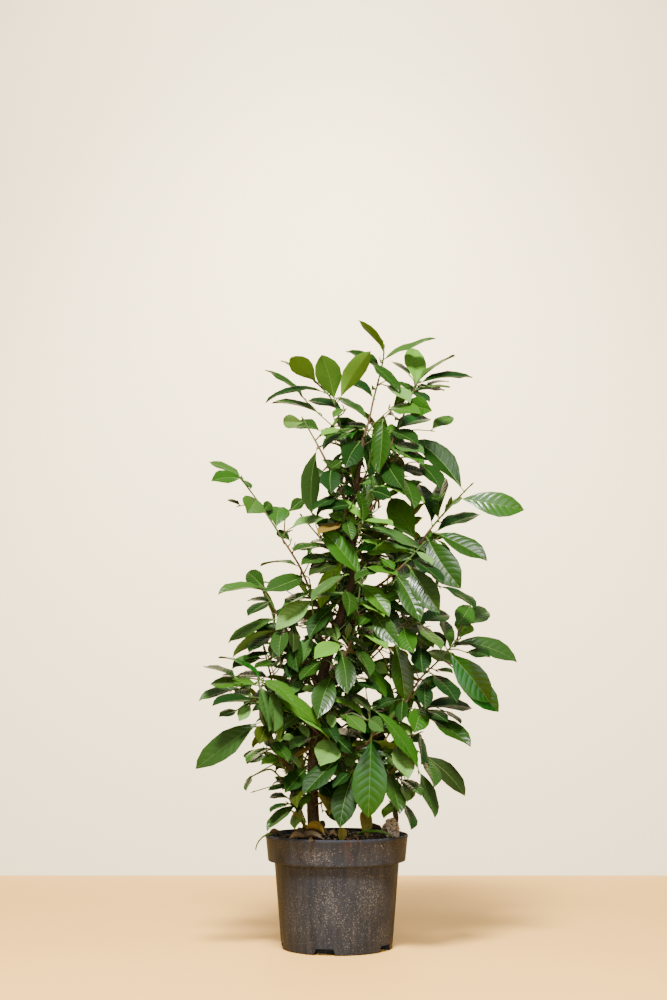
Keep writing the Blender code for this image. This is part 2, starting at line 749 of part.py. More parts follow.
def shoot_stems(tips, trunk_tree):
    """Each shoot's stem from just clear of its bough's tip, or of the trunk, to its own tip."""
    stems = {}
    for name, shoot in list(SHOOTS.items()) + list(BACK_SHOOTS.items()):
        carrier, points = shoot[0], shoot[1]
        if carrier in tips:
            end, heading = tips[carrier]
            start = end + heading * GAP
        else:
            start, heading = trunk_point(carrier), None
        path = smooth_path([start] + list(points), SPANS)
        radii = tapered(len(path), *STEM_RADII)
        if carrier not in tips:
            path = seated_path(path, radii, SHOOT_SIDES, trunk_tree)
        stems[name] = path, limb(path, radii, SHOOT_SIDES, heading)
    return stems


def leaf_plans(stems):
    """Every leaf's shoot, root, stem heading, plan and luck, the largest of the seen leaves first."""
    chance = random.Random(SEED)
    seen, far = [], []
    for name, (path, _) in stems.items():
        plans = SHOOTS[name][3] if name in SHOOTS else range(BACK_SHOOTS[name][3])
        for index, plan in enumerate(plans):
            share = FIRST_LEAF + (LAST_LEAF - FIRST_LEAF) * index / (len(plans) - 1)
            root, heading = along(path, share)
            luck = [chance.uniform(-1, 1) for _ in range(5)]
            (seen if name in SHOOTS else far).append((name, root, heading, plan, luck))
    seen.sort(key=lambda leaf: -leaf[3][1] * abs(leaf[3][2]))
    return seen + far


def grow_shoots(collection, crown, stems):
    """Grows every leaf where it stays clear, then joins each shoot's leaves to its stem."""
    leaves = {name: [] for name in stems}
    for name, root, stem_heading, plan, luck in leaf_plans(stems):
        droop = DROOP[0] + (DROOP[1] - DROOP[0]) * (luck[4] + 1) / 2

        def choose(shift):
            if name in SHOOTS:
                return seen_leaf(*plan, SHOOTS[name][2], shift) + (droop,)
            return far_leaf(stem_heading, plan, BACK_SHOOTS[name][2], shift, luck) + (droop,)

        leaf = grow_leaf(crown, name, root, choose)
        if leaf:
            leaves[name].append(leaf)
    for name, (_, stem) in stems.items():
        colour = "new_leaf" if name in NEW_GROWTH else "leaf"
        shade(fuse(name, stem, leaves[name], collection, colour))


def clump(collection, crown):
    """A rough lump of bark and compost lying near the rim."""
    shape = bmesh.new()
    bmesh.ops.create_icosphere(shape, subdivisions=2, radius=1.0)
    chance = random.Random(SEED + 1)
    for vert in shape.verts:
        rough = 1 + chance.uniform(-CLUMP_ROUGHNESS, CLUMP_ROUGHNESS)
        vert.co = Vector([vert.co[axis] * CLUMP_SIZE[axis] * rough for axis in range(3)])
    low = min(vert.co.z for vert in shape.verts)
    flat = low + CLUMP_FOOT
    for vert in shape.verts:
        vert.co.z = max(vert.co.z, flat)
        vert.co += Vector((CLUMP_PLACE[0], CLUMP_PLACE[1], SOIL_LEVEL + GAP - flat))
    points = [vert.co.copy() for vert in shape.verts]
    faces = [tuple(vert.index for vert in face.verts) for face in shape.faces]
    shape.free()
    mesh_object("clump", (points, faces), collection, "litter")
    crown.add("clump", (points, faces), "limb")


def fallen_leaves(collection, crown):
    for name, (root, azimuth, rise, length, width, droop) in FALLEN.items():
        angle, climb = math.radians(azimuth), math.radians(rise)
        flat = Vector((math.cos(angle), math.sin(angle), 0))
        heading = math.cos(climb) * flat + math.sin(climb) * UP
        normal = math.cos(climb) * UP - math.sin(climb) * flat
        solid = blade(Vector(root), heading, normal, length, width, droop)
        mesh_object(name, solid, collection, "litter")
        crown.add(name, solid, "limb")


def pot_guard():
    """The pot's outer shape, which leaves keep clear of."""
    path = [Vector((0, 0, 0)), Vector((0, 0, POT_HEIGHT))]
    return limb(path, [BASE_RADIUS + 2, RIM_RADIUS + 2], 40)


def main():
    clear_scene()
    parts = new_collection(NAME)
    cutters = new_collection("cutters")
    shade(pot(parts, cutters))
    shade(root_ball(parts))
    crown = Crown()
    crown.add("pot", pot_guard(), "limb")
    clump(parts, crown)
    fallen_leaves(parts, crown)
    trunk_path, trunk_solid = trunk_limb()
    shade(mesh_object("trunk", trunk_solid, parts, "bark"))
    crown.add("trunk", trunk_solid, "limb")
    trunk_tree = tree_of(trunk_solid)
    tips = {"trunk": (trunk_path[-1], (trunk_path[-1] - trunk_path[-2]).normalized())}
    for name, (height, points, first, last) in BOUGHS.items():
        path = smooth_path([trunk_point(height)] + list(points), SPANS)
        radii = tapered(len(path), first, last)
        path = seated_path(path, radii, BOUGH_SIDES, trunk_tree)
        solid = limb(path, radii, BOUGH_SIDES)
        shade(mesh_object(name, solid, parts, "bark"))
        crown.add(name, solid, "limb")
        tips[name] = (path[-1], (path[-1] - path[-2]).normalized())
    stems = shoot_stems(tips, trunk_tree)
    for name, (_, solid) in stems.items():
        crown.add(name, solid, "limb")
    grow_shoots(parts, crown, stems)


main()
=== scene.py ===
"""The looks of a young cherry laurel in a dark plastic nursery pot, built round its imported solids.

The leaves grow again by the rule of the plant's source, at the same places, and finer twigs then
fill the crown within the same reach. Places in the plant are in millimetres, as in its source, and
become metres when a mesh is made. X runs to the right as the plant is seen from the front, Y away
from the viewer and Z up, with the origin at the centre of the pot's underside.
"""

import functools
import math
import random

import bmesh
import bpy
import numpy as np
from mathutils import Matrix, Vector
from mathutils.bvhtree import BVHTree


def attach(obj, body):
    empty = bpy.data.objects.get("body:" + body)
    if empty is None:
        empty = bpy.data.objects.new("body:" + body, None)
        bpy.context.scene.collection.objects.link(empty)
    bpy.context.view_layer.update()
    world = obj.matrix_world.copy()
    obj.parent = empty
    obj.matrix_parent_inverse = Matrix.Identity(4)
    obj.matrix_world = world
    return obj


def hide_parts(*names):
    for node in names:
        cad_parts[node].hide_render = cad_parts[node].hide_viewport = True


bl_info = {
    "name": "Potted cherry laurel",
    "version": (1, 0, 0),
    "blender": (4, 5, 0),
    "location": "View3D > Sidebar > Laurel",
    "description": "Models the pot, compost, wood, leaves and litter of a potted cherry laurel",
    "category": "Object",
}

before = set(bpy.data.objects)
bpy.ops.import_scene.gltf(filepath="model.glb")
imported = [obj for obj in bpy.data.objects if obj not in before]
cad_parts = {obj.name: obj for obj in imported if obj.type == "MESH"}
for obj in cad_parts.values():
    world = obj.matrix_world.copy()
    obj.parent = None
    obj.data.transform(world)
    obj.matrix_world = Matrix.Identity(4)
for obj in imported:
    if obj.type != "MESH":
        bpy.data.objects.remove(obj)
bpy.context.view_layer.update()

# A millimetre in metres, the gap that parts one limb from the next, and directions in the plant.
MM = 0.001
GAP = 0.3
VIEWER = Vector((0, -1, 0))
UP = Vector((0, 0, 1))
SEED = 41

# Pot: its outline as radius and height, from the foot up the outside, over the rim and down inside.
POT_HEIGHT = 179.0
RIM_RADIUS = 115.0
COLLAR_FOOT_RADIUS = 111.0
COLLAR_FOOT = 137.0
BODY_TOP_RADIUS = 100.5
BASE_RADIUS = 89.3
WALL = 2.0
FLOOR = 3.0
CHANNEL_FLOOR = 14.0
CHANNEL_RADIUS = 60.0
CHANNEL_COUNT = 5
CHANNEL_WIDTHS = (35.0, 29.0)
CHANNEL_HEIGHT = 10.0
CHANNEL_DEPTH = 22.0
CHANNEL_PHASE = -12.6
POT_SIDES = 128
SOIL_LEVEL = 168.0

# What leaves keep clear of round the pot, as its source has it.
GUARD_ROOM = 2.0
GUARD_SIDES = 40

# Compost: how far it mounds and the rings and sides of its top. Its crumbs: their sizes, how many are of
# each of three kinds, how long each kind is, how high a crumb is, its tilt, and how rough it is.
COMPOST_MOUND = 12.0
COMPOST_RINGS = 42
COMPOST_SIDES = 144
CRUMB_SIZES = (1.0, 3.4)
CRUMB_SHARES = (6, 3, 2)
CRUMB_LENGTHS = (1.7, 3.4, 3.4)
CRUMB_HEIGHTS = (0.3, 0.9)
CRUMB_TILT = 0.6
CRUMB_ROUGHNESS = (0.75, 1.2)

# Trunk: across, back, height and radius, from the flare on the compost to the tip in the leader.
TRUNK = (
    (-34, 8, SOIL_LEVEL + GAP, 15.0), (-36, 8, 182, 11.5), (-39, 8, 215, 9.8), (-39, 6, 281, 9.2),
    (-34, 4, 345, 8.8), (-26, 2, 423, 8.4), (-4, 0, 494, 7.8), (14, 0, 557, 7.4), (27, 0, 598, 6.8),
    (25, 2, 650, 6.0), (26, 2, 705, 5.2), (35, 0, 762, 4.2), (45, 0, 826, 3.2),
)

# Curve spans between two named points, and how far and how finely a limb is seated on its carrier.
SPANS = 2
SEAT_REACH = 40.0
SEAT_STEPS = 18

# Boughs: the height on the trunk where each starts, the points it passes, and its radii.
BOUGHS = {
    "left_bough": (512, ((-28, -10, 542), (-45, -14, 575)), 3.4, 2.2),
    "left_second_bough": (405, ((-59, -30, 474), (-85, -38, 512)), 3.2, 1.9),
    "left_inner_bough": (452, ((-24, -34, 486), (-32, -42, 508)), 2.8, 1.8),
    "left_pale_bough": (330, ((-72, -14, 368), (-102, -10, 405)), 2.8, 1.7),
    "left_front_bough": (262, ((-62, -60, 276), (-90, -92, 306)), 3.4, 2.0),
    "left_low_bough": (236, ((-54, -30, 243), (-70, -58, 252)), 2.6, 1.6),
    "front_low_bough": (278, ((-8, -60, 300), (46, -104, 326)), 3.4, 2.2),
    "low_right_bough": (238, ((16, -36, 254), (74, -72, 272)), 3.2, 1.8),
    "right_mid_bough": (296, ((20, -22, 316), (76, -54, 344), (104, -60, 378)), 3.8, 2.3),
    "right_inner_bough": (418, ((36, -12, 452), (82, -26, 494)), 3.0, 1.8),
    "front_bough": (392, ((-10, -34, 420), (6, -52, 446)), 3.6, 2.6),
    "right_centre_bough": (545, ((44, -42, 562), (78, -70, 584)), 3.0, 1.9),
    "right_bough": (490, ((40, -14, 524), (75, -28, 563), (122, -36, 632)), 3.8, 2.1),
    "upper_right_bough": (668, ((40, -22, 684), (54, -44, 700)), 2.4, 1.6),
    "top_right_bough": (650, ((46, -10, 694), (62, -18, 730), (72, -20, 766)), 3.2, 2.2),
    "upper_left_bough": (690, ((10, -14, 728), (-8, -28, 764)), 2.8, 1.8),
    "second_stem": (715, ((18, 16, 742), (15, 20, 776)), 2.8, 2.3),
}

# Shoots: what carries each one, the points that its stem passes, and the length of its larger leaves.
SHOOTS = {
    "front_low_leaves": ("front_low_bough", ((55, -110, 340), (50, -112, 372)), 120),
    "centre_low_leaves": (306, ((-27, -22, 322), (-14, -46, 342), (-6, -58, 350)), 95),
    "foot_leaves": (222, ((-20, -34, 234), (6, -66, 262), (22, -84, 280)), 100),
    "low_right_leaves": ("low_right_bough", ((93, -80, 291), (106, -82, 312), (116, -82, 326)), 90),
    "left_front_leaves": (
        "left_front_bough",
        ((-104, -100, 332), (-116, -102, 363), (-118, -102, 394), (-123, -102, 424)), 95,
    ),
    "left_depth_leaves": (352, ((-62, 20, 380), (-96, 30, 404)), 84),
    "right_depth_leaves": (322, ((10, 22, 350), (60, 34, 385), (104, 38, 418)), 95),
    "left_low_leaves": ("left_low_bough", ((-84, -76, 266), (-104, -86, 286), (-132, -88, 276)), 75),
    "right_mid_leaves": (
        "right_mid_bough",
        ((118, -60, 404), (135, -60, 430), (158, -60, 452), (184, -60, 480), (194, -60, 494)), 105,
    ),
    "front_leaves": (
        "front_bough", ((15, -60, 470), (27, -62, 500), (32, -62, 530), (39, -60, 588)), 85,
    ),
    "left_inner_leaves": ("left_inner_bough", ((-38, -48, 532), (-42, -54, 572)), 85),
    "right_centre_leaves": ("right_centre_bough", ((108, -80, 610), (136, -82, 640)), 100),
    "right_high_leaves": (
        "right_bough", ((142, -40, 656), (165, -42, 685), (206, -42, 729), (217, -42, 740)), 108,
    ),
    "right_inner_leaves": ("right_inner_bough", ((110, -32, 520), (138, -32, 548)), 95),
    "left_centre_leaves": (478, ((-42, 6, 516), (-60, 10, 552)), 92),
    "inner_front_leaves": (560, ((4, -50, 566), (-4, -74, 592)), 90),
    "low_front_leaves": (352, ((0, -30, 368), (34, -56, 388)), 92),
    "left_mid_leaves": ("left_second_bough", ((-96, -40, 532), (-110, -42, 556), (-121, -42, 572)), 90),
    "left_pale_leaves": ("left_pale_bough", ((-109, -10, 439), (-118, -8, 474)), 76),
    "left_high_leaves": (
        "left_bough",
        ((-62, -18, 613), (-88, -22, 654), (-109, -22, 687), (-137, -20, 728), (-157, -18, 754)), 75,
    ),
    "centre_leaves": (632, ((14, -20, 646), (10, -34, 676), (14, -40, 700)), 85),
    "upper_right_leaves": ("upper_right_bough", ((67, -50, 718), (84, -52, 746)), 92),
    "top_centre_leaves": (735, ((48, -30, 762), (56, -50, 792)), 92),
    "upper_left_leaves": ("upper_left_bough", ((-27, -30, 801), (-39, -30, 823), (-54, -28, 850)), 100),
    "top_right_leaves": (
        "top_right_bough", ((84, -20, 797), (100, -20, 836), (116, -18, 874), (128, -16, 904)), 104,
    ),
    "top_left_leaves": (
        "second_stem", ((12, 20, 812), (6, 18, 850), (-6, 14, 890), (-34, 10, 920)), 92,
    ),
    "leader_leaves": (
        "trunk", ((54, 0, 856), (61, 0, 889), (69, 0, 920), (77, 0, 954), (79, 0, 976)), 92,
    ),
}

# The leaves of the shoots inside the crown, from the foot of the stem to the tip: the way each points
# as seen from the front, in degrees up from the right, and its length and width as seen. A width below
# zero shows the underside. The letters before them are their tones.
INNER_LEAVES = {
    "left_depth_leaves": ("dddmddd", (
        (290, 55, 26), (250, 60, 28), (310, 45, 20), (230, 65, 24), (170, 50, 18), (90, 40, 24),
        (200, 60, 20),
    )),
    "right_depth_leaves": ("ddmddmddm", (
        (240, 70, 30), (280, 80, 36), (110, 46, 22), (300, 85, 34), (200, 50, 16), (320, 80, 30),
        (265, 75, 34), (340, 60, 20), (80, 50, 24),
    )),
    "left_centre_leaves": ("dddmddm", (
        (195, 60, 18), (250, 70, 30), (215, 70, 26), (265, 60, 26), (175, 60, 16), (235, 75, 30),
        (150, 50, 18),
    )),
    "inner_front_leaves": ("dmddm", (
        (280, 60, 28), (240, 75, 30), (200, 60, 18), (258, 70, 32), (170, 56, 16),
    )),
    "low_front_leaves": ("ddmmdd", (
        (190, 66, 20), (270, 66, 30), (300, 78, 30), (20, 60, 18), (330, 70, 22), (350, 62, 18),
    )),
    "top_centre_leaves": ("dmmgmm", (
        (285, 74, 32), (240, 60, 28), (330, 70, 26), (302, 80, 34), (20, 60, 20), (70, 50, 26),
    )),
}

# Leaves that the photo shows, shoot by shoot: how far back the shoot stands, a letter for the tone of
# each leaf, then each leaf's foot and tip, across and up, and its width, all as seen on the plane of the
# trunk, and its bow in degrees. A width below zero shows the underside.
# Each leaf's tone was matched to how light or dark that leaf looks, so besides its own colour it holds
# painted light and shade.
SEEN_LEAVES = (
    ("leader_leaves", 0, "ofhdmelhvdd", (
        (77, 972, 36, 1025, -15, 20), (79, 957, 166, 994, 12, 20), (72, 940, 16, 971, 15, 25),
        (60, 893, 7, 928, 15, 25), (49, 857, -4, 893, 13, 25), (54, 952, 104, 901, 17, 25),
        (81, 913, 122, 884, 17, 20), (54, 839, -4, 844, 10, 20), (39, 837, -23, 805, 15, 45),
        (37, 817, 14, 775, 37, 25), (49, 836, 52, 755, 23, 20),
    )),
    ("top_left_leaves", 14, "oobfedfdf", (
        (7, 894, 57, 972, -33, 20), (-34, 920, -76, 962, -33, 20), (-4, 891, -25, 966, -42, 20),
        (-61, 937, -93, 955, 7, 15), (-56, 893, -120, 940, 12, 20), (-23, 900, -119, 884, 8, 60),
        (-31, 867, -108, 884, 10, 30), (9, 871, -48, 888, 15, 20), (11, 874, -6, 859, 12, 15),
    )),
    ("upper_left_leaves", -30, "lvoddm", (
        (-54, 852, -89, 854, 23, 20), (-28, 837, -73, 844, 18, 25), (7, 839, -26, 829, 8, 20),
        (-33, 804, -41, 700, -30, 20), (-9, 772, -9, 732, 33, 25), (7, 787, -8, 777, 15, 15),
    )),
    ("top_right_leaves", -18, "osfdvdfdgbrfehsghh", (
        (132, 911, 129, 977, 35, 20), (122, 930, 92, 954, 10, 20), (139, 923, 198, 964, 8, 20),
        (141, 918, 227, 927, 12, 25), (149, 911, 187, 920, 7, 20), (129, 903, 179, 905, 13, 25),
        (147, 911, 189, 910, 5, 15), (127, 901, 155, 886, 12, 20), (117, 883, 159, 871, 33, 25),
        (90, 876, 139, 866, 20, 25), (97, 837, 155, 857, 23, 25), (158, 839, 193, 861, 20, 15),
        (77, 852, 70, 765, 33, 20), (92, 836, 135, 814, 22, 20), (95, 814, 145, 799, 18, 25),
        (84, 810, 145, 779, 18, 25), (82, 784, 110, 740, 36, 20), (136, 782, 171, 740, 27, 20),
    )),
    ("right_high_leaves", -41, "hgdegdbee", (
        (207, 740, 132, 822, 35, 20), (206, 723, 310, 705, 38, 25), (165, 669, 237, 697, 23, 20),
        (165, 665, 248, 621, 28, 25), (169, 690, 178, 758, 28, 20), (156, 684, 136, 748, 23, 20),
        (131, 655, 90, 725, 43, 20), (111, 758, 128, 707, 27, 20), (151, 655, 204, 575, 48, 25),
    )),
    ("upper_right_leaves", -50, "odossoe", (
        (67, 743, 146, 717, 12, 30), (58, 737, 91, 725, 22, 20), (42, 685, 93, 679, 10, 20),
        (45, 672, 149, 631, 17, 35), (68, 655, 127, 636, 10, 25), (42, 655, 66, 647, 8, 15),
        (42, 685, 35, 738, 20, 20),
    )),
    ("right_centre_leaves", -80, "ogdlvvdr", (
        (119, 634, 48, 634, 23, 20), (73, 624, 94, 606, 13, 20), (121, 622, 175, 584, 15, 25),
        (129, 636, 157, 614, 10, 15), (121, 608, 169, 535, 41, 25), (99, 596, 137, 520, 36, 25),
        (170, 578, 227, 542, 15, 20), (135, 519, 184, 532, 26, 25),
    )),
    ("right_inner_leaves", -32, "gso", (
        (219, 547, 197, 514, 33, 25), (205, 512, 248, 538, 30, 25), (202, 494, 212, 520, 34, 15),
    )),
    ("front_leaves", -61, "gbvboevroollvgevdlle", (
        (40, 594, -26, 674, 33, 25), (48, 609, 101, 596, 12, 20), (83, 606, 30, 588, 13, 20),
        (38, 583, 86, 529, 28, 25), (33, 550, 78, 529, 10, 25), (61, 535, 35, 512, 15, 20),
        (61, 537, 100, 483, 33, 25), (33, 502, 73, 502, 8, 20), (40, 498, 82, 475, 11, 25),
        (5, 483, -37, 460, 25, 20), (0, 491, -16, 512, 16, 15), (0, 491, -4, 520, 8, 15),
        (30, 478, 54, 432, 21, 20), (27, 455, 80, 395, 20, 35), (95, 486, 111, 392, 36, 25),
        (9, 465, 17, 403, 33, 20), (30, 421, 67, 408, 11, 20), (85, 436, 63, 452, 20, 15),
        (-31, 498, -9, 501, 10, 15), (5, 471, -31, 458, 10, 15),
    )),
    ("centre_leaves", -38, "ooavgddrvsvuosle", (
        (42, 687, 0, 723, 17, 20), (37, 679, -14, 699, 17, 20), (10, 682, -31, 664, 13, 20),
        (17, 690, 25, 655, 21, 20), (2, 647, -41, 654, 8, 20), (0, 727, -41, 704, 15, 20),
        (22, 713, -24, 704, 20, 20), (32, 730, -1, 738, 20, 20), (-11, 641, -72, 637, 10, 25),
        (14, 626, -34, 645, 12, 20), (-18, 629, -59, 614, 20, 20), (2, 616, -46, 596, 15, 20),
        (14, 622, -27, 543, 30, 25), (14, 596, -42, 557, 16, 25), (32, 557, -41, 555, 7, 50),
        (14, 570, 18, 530, 23, 20),
    )),
    ("left_high_leaves", -20, "fgefedgvlhs", (
        (-159, 758, -212, 785, 12, 20), (-158, 757, -208, 753, 20, 20), (-155, 755, -142, 740, 8, 15),
        (-133, 722, -148, 699, 40, 20), (-123, 702, -110, 718, 17, 15), (-160, 713, -181, 722, 8, 15),
        (-100, 677, -94, 710, 40, 15), (-79, 702, -56, 723, 20, 15), (-74, 675, -21, 692, 15, 20),
        (-77, 654, -97, 672, 15, 15), (-65, 611, -126, 612, 5, 45),
    )),
    ("left_mid_leaves", -42, "efvkddglvu", (
        (-116, 573, -146, 603, 28, 20), (-120, 570, -195, 566, 12, 45), (-55, 594, -118, 570, 28, 25),
        (-49, 581, -75, 584, 13, 15), (-110, 553, -146, 555, 7, 20), (-110, 553, -146, 530, 15, 20),
        (-44, 566, -85, 547, 13, 20), (-41, 555, -100, 507, 31, 25), (-88, 509, -94, 463, 28, 25),
        (-73, 509, -72, 471, 18, 20),
    )),
    ("left_pale_leaves", -10, "fldsuhsevlso", (
        (-98, 524, -178, 486, 20, 35), (-106, 506, -170, 463, -13, 25), (-103, 498, -144, 470, 15, 20),
        (-106, 504, -150, 489, -10, 20), (-101, 481, -106, 460, 15, 15), (-109, 470, -153, 458, 10, 20),
        (-121, 460, -171, 444, 18, 25), (-94, 454, -135, 445, 15, 20), (-112, 429, -165, 432, 15, 20),
        (-138, 419, -158, 410, 10, 15), (-158, 411, -225, 392, 15, 25), (-169, 410, -153, 405, 8, 15),
    )),
    ("left_inner_leaves", -52, "hhsedsdo", (
        (-4, 545, -45, 493, 25, 25), (-62, 496, -63, 439, 25, 20), (-42, 494, -57, 452, 18, 20),
        (-27, 457, -60, 426, 21, 20), (-72, 458, -78, 428, 21, 20), (-55, 424, -78, 400, 18, 20),
        (-81, 419, -116, 431, -8, 20), (-39, 507, -54, 520, 7, 15),
    )),
    ("left_front_leaves", -101, "rbbobdbdssosslmk", (
        (-125, 424, -194, 462, 7, 50), (-122, 424, -73, 390, 20, 30), (-115, 402, -29, 351, 24, 45),
        (-112, 379, -11, 329, 13, 45), (-129, 416, -207, 419, 20, 25), (-166, 429, -217, 447, 10, 20),
        (-166, 432, -188, 434, 5, 15), (-130, 389, -203, 384, 16, 25), (-129, 418, -110, 342, 23, 20),
        (-107, 410, -102, 342, 23, 20), (-88, 364, -91, 326, 10, 15), (-137, 398, -171, 402, 13, 20),
        (-164, 377, -192, 366, 13, 15), (-141, 385, -159, 359, 20, 15), (-127, 355, -229, 282, 39, 30),
        (-115, 351, -126, 322, 29, 20),
    )),
    ("centre_low_leaves", -56, "lvldlulrdssal", (
        (-8, 327, -27, 287, 42, 25), (-9, 431, -31, 363, 38, 25), (-36, 413, -57, 410, 13, 15),
        (-24, 363, 0, 324, 23, 20), (-14, 372, -6, 348, 16, 15), (20, 405, 53, 374, 16, 25),
        (-60, 355, -47, 332, 13, 15), (48, 326, -3, 345, 15, 20), (2, 329, 28, 305, 20, 20),
        (13, 303, 30, 287, 20, 15), (-39, 332, -76, 313, 15, 20), (-40, 318, -66, 298, 10, 15),
        (-91, 329, -68, 332, 13, 15),
    )),
    ("right_mid_leaves", -60, "vrdroodfgobddgdeddhddhosd", (
        (199, 488, 295, 455, 28, 25), (185, 470, 250, 389, 46, 25), (213, 471, 251, 463, 16, 20),
        (190, 445, 264, 374, 38, 25), (198, 445, 149, 473, 25, 20), (151, 436, 97, 436, 20, 25),
        (138, 478, 141, 437, 33, 20), (130, 517, 171, 475, 15, 20), (110, 509, 126, 470, 33, 20),
        (133, 496, 159, 478, 13, 15), (185, 478, 176, 524, 23, 15), (179, 478, 155, 504, 20, 15),
        (190, 480, 218, 483, 7, 15), (141, 379, 126, 340, 36, 20), (142, 377, 221, 379, 20, 35),
        (149, 364, 218, 318, 23, 25), (144, 421, 144, 379, 26, 20), (157, 434, 196, 389, 26, 20),
        (162, 442, 190, 437, 7, 15), (173, 376, 202, 355, 8, 25), (147, 377, 181, 358, 16, 20),
        (108, 393, 106, 358, 21, 20), (103, 359, 122, 337, 13, 15), (126, 337, 135, 324, 18, 15),
        (100, 393, 59, 376, 15, 20),
    )),
    ("front_low_leaves", -111, "rgosflk", (
        (56, 329, 51, 204, 55, 20), (62, 374, 130, 285, 23, 30), (43, 364, -32, 400, 15, 35),
        (54, 361, 77, 343, 24, 20), (17, 368, 46, 340, 21, 20), (65, 326, 100, 310, -13, 20),
        (48, 326, 25, 319, 10, 15),
    )),
    ("low_right_leaves", -82, "lmuvmvdldv", (
        (98, 321, 116, 265, 33, 25), (83, 276, 102, 210, 28, 20), (142, 303, 208, 239, 28, 25),
        (139, 301, 158, 253, 21, 20), (134, 276, 159, 204, 24, 25), (104, 265, 137, 239, 19, 20),
        (106, 228, 120, 185, 15, 20), (107, 257, 114, 229, 15, 15), (134, 337, 137, 289, 13, 20),
        (78, 310, 106, 271, 13, 20),
    )),
    ("foot_leaves", -70, "hhdh", (
        (5, 300, -55, 241, 33, 25), (26, 273, 5, 188, 41, 20), (21, 277, -6, 252, 18, 20),
        (-52, 281, -84, 244, 28, 20),
    )),
    ("foot_leaves", -20, "yklkod", (
        (-17, 260, -12, 209, 30, 20), (-60, 258, -64, 220, 20, 20), (-60, 220, -68, 186, 18, 20),
        (111, 265, 119, 232, 17, 20), (98, 231, 76, 203, 16, 20), (-30, 262, 4, 230, 24, 20),
    )),
    ("left_low_leaves", -88, "eugovmdhfddv", (
        (-104, 326, -79, 293, 21, 20), (-87, 310, -61, 284, 13, 20), (-104, 314, -147, 292, 11, 30),
        (-94, 300, -123, 289, 15, 20), (-123, 306, -146, 290, 7, 15), (-66, 223, -113, 183, 19, 25),
        (-76, 226, -108, 213, 10, 20), (-73, 247, -64, 213, 16, 15), (-43, 244, -58, 220, 15, 15),
        (-81, 236, -108, 239, 11, 20), (-86, 260, -102, 261, 5, 15), (-138, 269, -147, 247, 10, 15),
    )),
    ("left_low_leaves", 24, "ok", (
        (-21, 249, -6, 220, 23, 15), (-9, 265, 10, 241, 19, 15),
    )),
)

# Thin twigs that the photo shows: how far back each one stands, and the points that it passes.
SEEN_TWIGS = (
    (10, ((2, 822), (-1, 839), (-31, 867), (-56, 893))),
    (-18, ((49, 829), (62, 849), (92, 876), (110, 893))),
    (-10, ((-99, 410), (-104, 439), (-117, 476))),
    (-10, ((-104, 439), (-93, 452), (-81, 457))),
    (20, ((-60, 393), (-81, 426), (-91, 462))),
    (20, ((-60, 289), (-66, 321), (-75, 364))),
    (-40, ((-4, 501), (23, 525), (46, 543))),
    (-88, ((-86, 284), (-100, 290), (-128, 276), (-141, 268))),
    (-88, ((-73, 261), (-86, 260), (-131, 247))),
    (-52, ((41, 467), (51, 471), (68, 476), (84, 470))),
    (-70, ((48, 327), (22, 353), (-3, 371), (-18, 374))),
    (-88, ((-50, 197), (-64, 217), (-76, 226))),
    (-104, ((-124, 372), (-112, 342), (-100, 313), (-86, 284), (-73, 257))),
)

# Shoots on the far side: the height on the trunk, the stem's points, leaf length and tones.
BACK_SHOOTS = {
    "back_low_left_leaves": (300, ((-70, 60, 320), (-112, 124, 356)), 92, "dmgmdmfm"),
    "back_low_right_leaves": (276, ((14, 66, 300), (60, 138, 338)), 94, "mdmgmmdmb"),
    "back_left_leaves": (424, ((-64, 60, 462), (-108, 132, 512)), 90, "dmmgmdmf"),
    "back_right_leaves": (404, ((40, 64, 446), (104, 136, 506)), 96, "mdmgmmsmb"),
    "back_centre_leaves": (520, ((20, 66, 548), (36, 148, 590)), 92, "dmmdmgmf"),
    "back_high_left_leaves": (618, ((-18, 58, 654), (-60, 126, 708)), 86, "mdmgsmfb"),
    "back_high_right_leaves": (604, ((78, 56, 646), (134, 126, 698)), 92, "dmmgmmfb"),
    "back_top_leaves": (742, ((56, 52, 774), (82, 104, 822)), 82, "mmgmfmbl"),
}

# Leaves by the growth rule: degrees from one to the next, how far each spreads from its stem, how far
# chance turns and spreads it, the least share of its full length and width, and how far a shift that
# keeps it clear turns and spreads it. One that points nearly straight up has its face turned away.
TWO_FIFTHS = 144.0
BACK_SPREAD = 58.0
BACK_CHANCE = (20.0, 10.0)
BACK_SIZES = (0.86, 0.82)
BACK_SHIFT = (2.0, 0.6)
NEARLY_UPRIGHT = 0.2

# Leaves, as the plant's source sets them. They keep clear of each other as blades of a few faces.
LEAF_STATIONS = ((0.24, 0.76), (0.52, 1.0), (0.80, 0.66))
LEAF_WIDTH = 0.385
FAR_LEAF_WIDTH = 0.41
LEAF_THICKNESS = 0.016
LEAST_FORESHORTENING = 0.62
STALK_RADIUS = 1.0
STALK_DEPTH = 1.4
LEAF_CLEARANCE = 0.45
OUTER_START = 0.6
STEM_RADII = (1.9, 1.2)
STEM_SIDES = 3
RED_SHARES = (0.34, 0.2)
DROOP = (14.0, 42.0)
FIRST_LEAF = 0.16
LAST_LEAF = 0.985
SHIFTS = (
    (0, 0), (0, 9), (0, -9), (4, 0), (-4, 0), (4, 12), (-4, -12), (0, 20), (0, -20), (7, 6),
    (-7, -6), (7, -16), (-7, 16), (0, 32), (0, -32), (11, 10), (-11, -10), (11, -24), (-11, 24),
)

# How far back or forward along the line of sight a shown leaf may move to stay clear, and its leans.
SEEN_SHIFTS = sorted(
    (
        (back, lean) for back in (0, 5, -5, 10, -10, 16, -16, 24, -24, 34, -34)
        for lean in (0, 10, -10, 22, -22)
    ),
    key=lambda shift: abs(shift[0] - 1) / 7 + abs(shift[1]) / 9,
)
SEEN_WIDTH = 1.04
STALK_EXTRA = 0.07

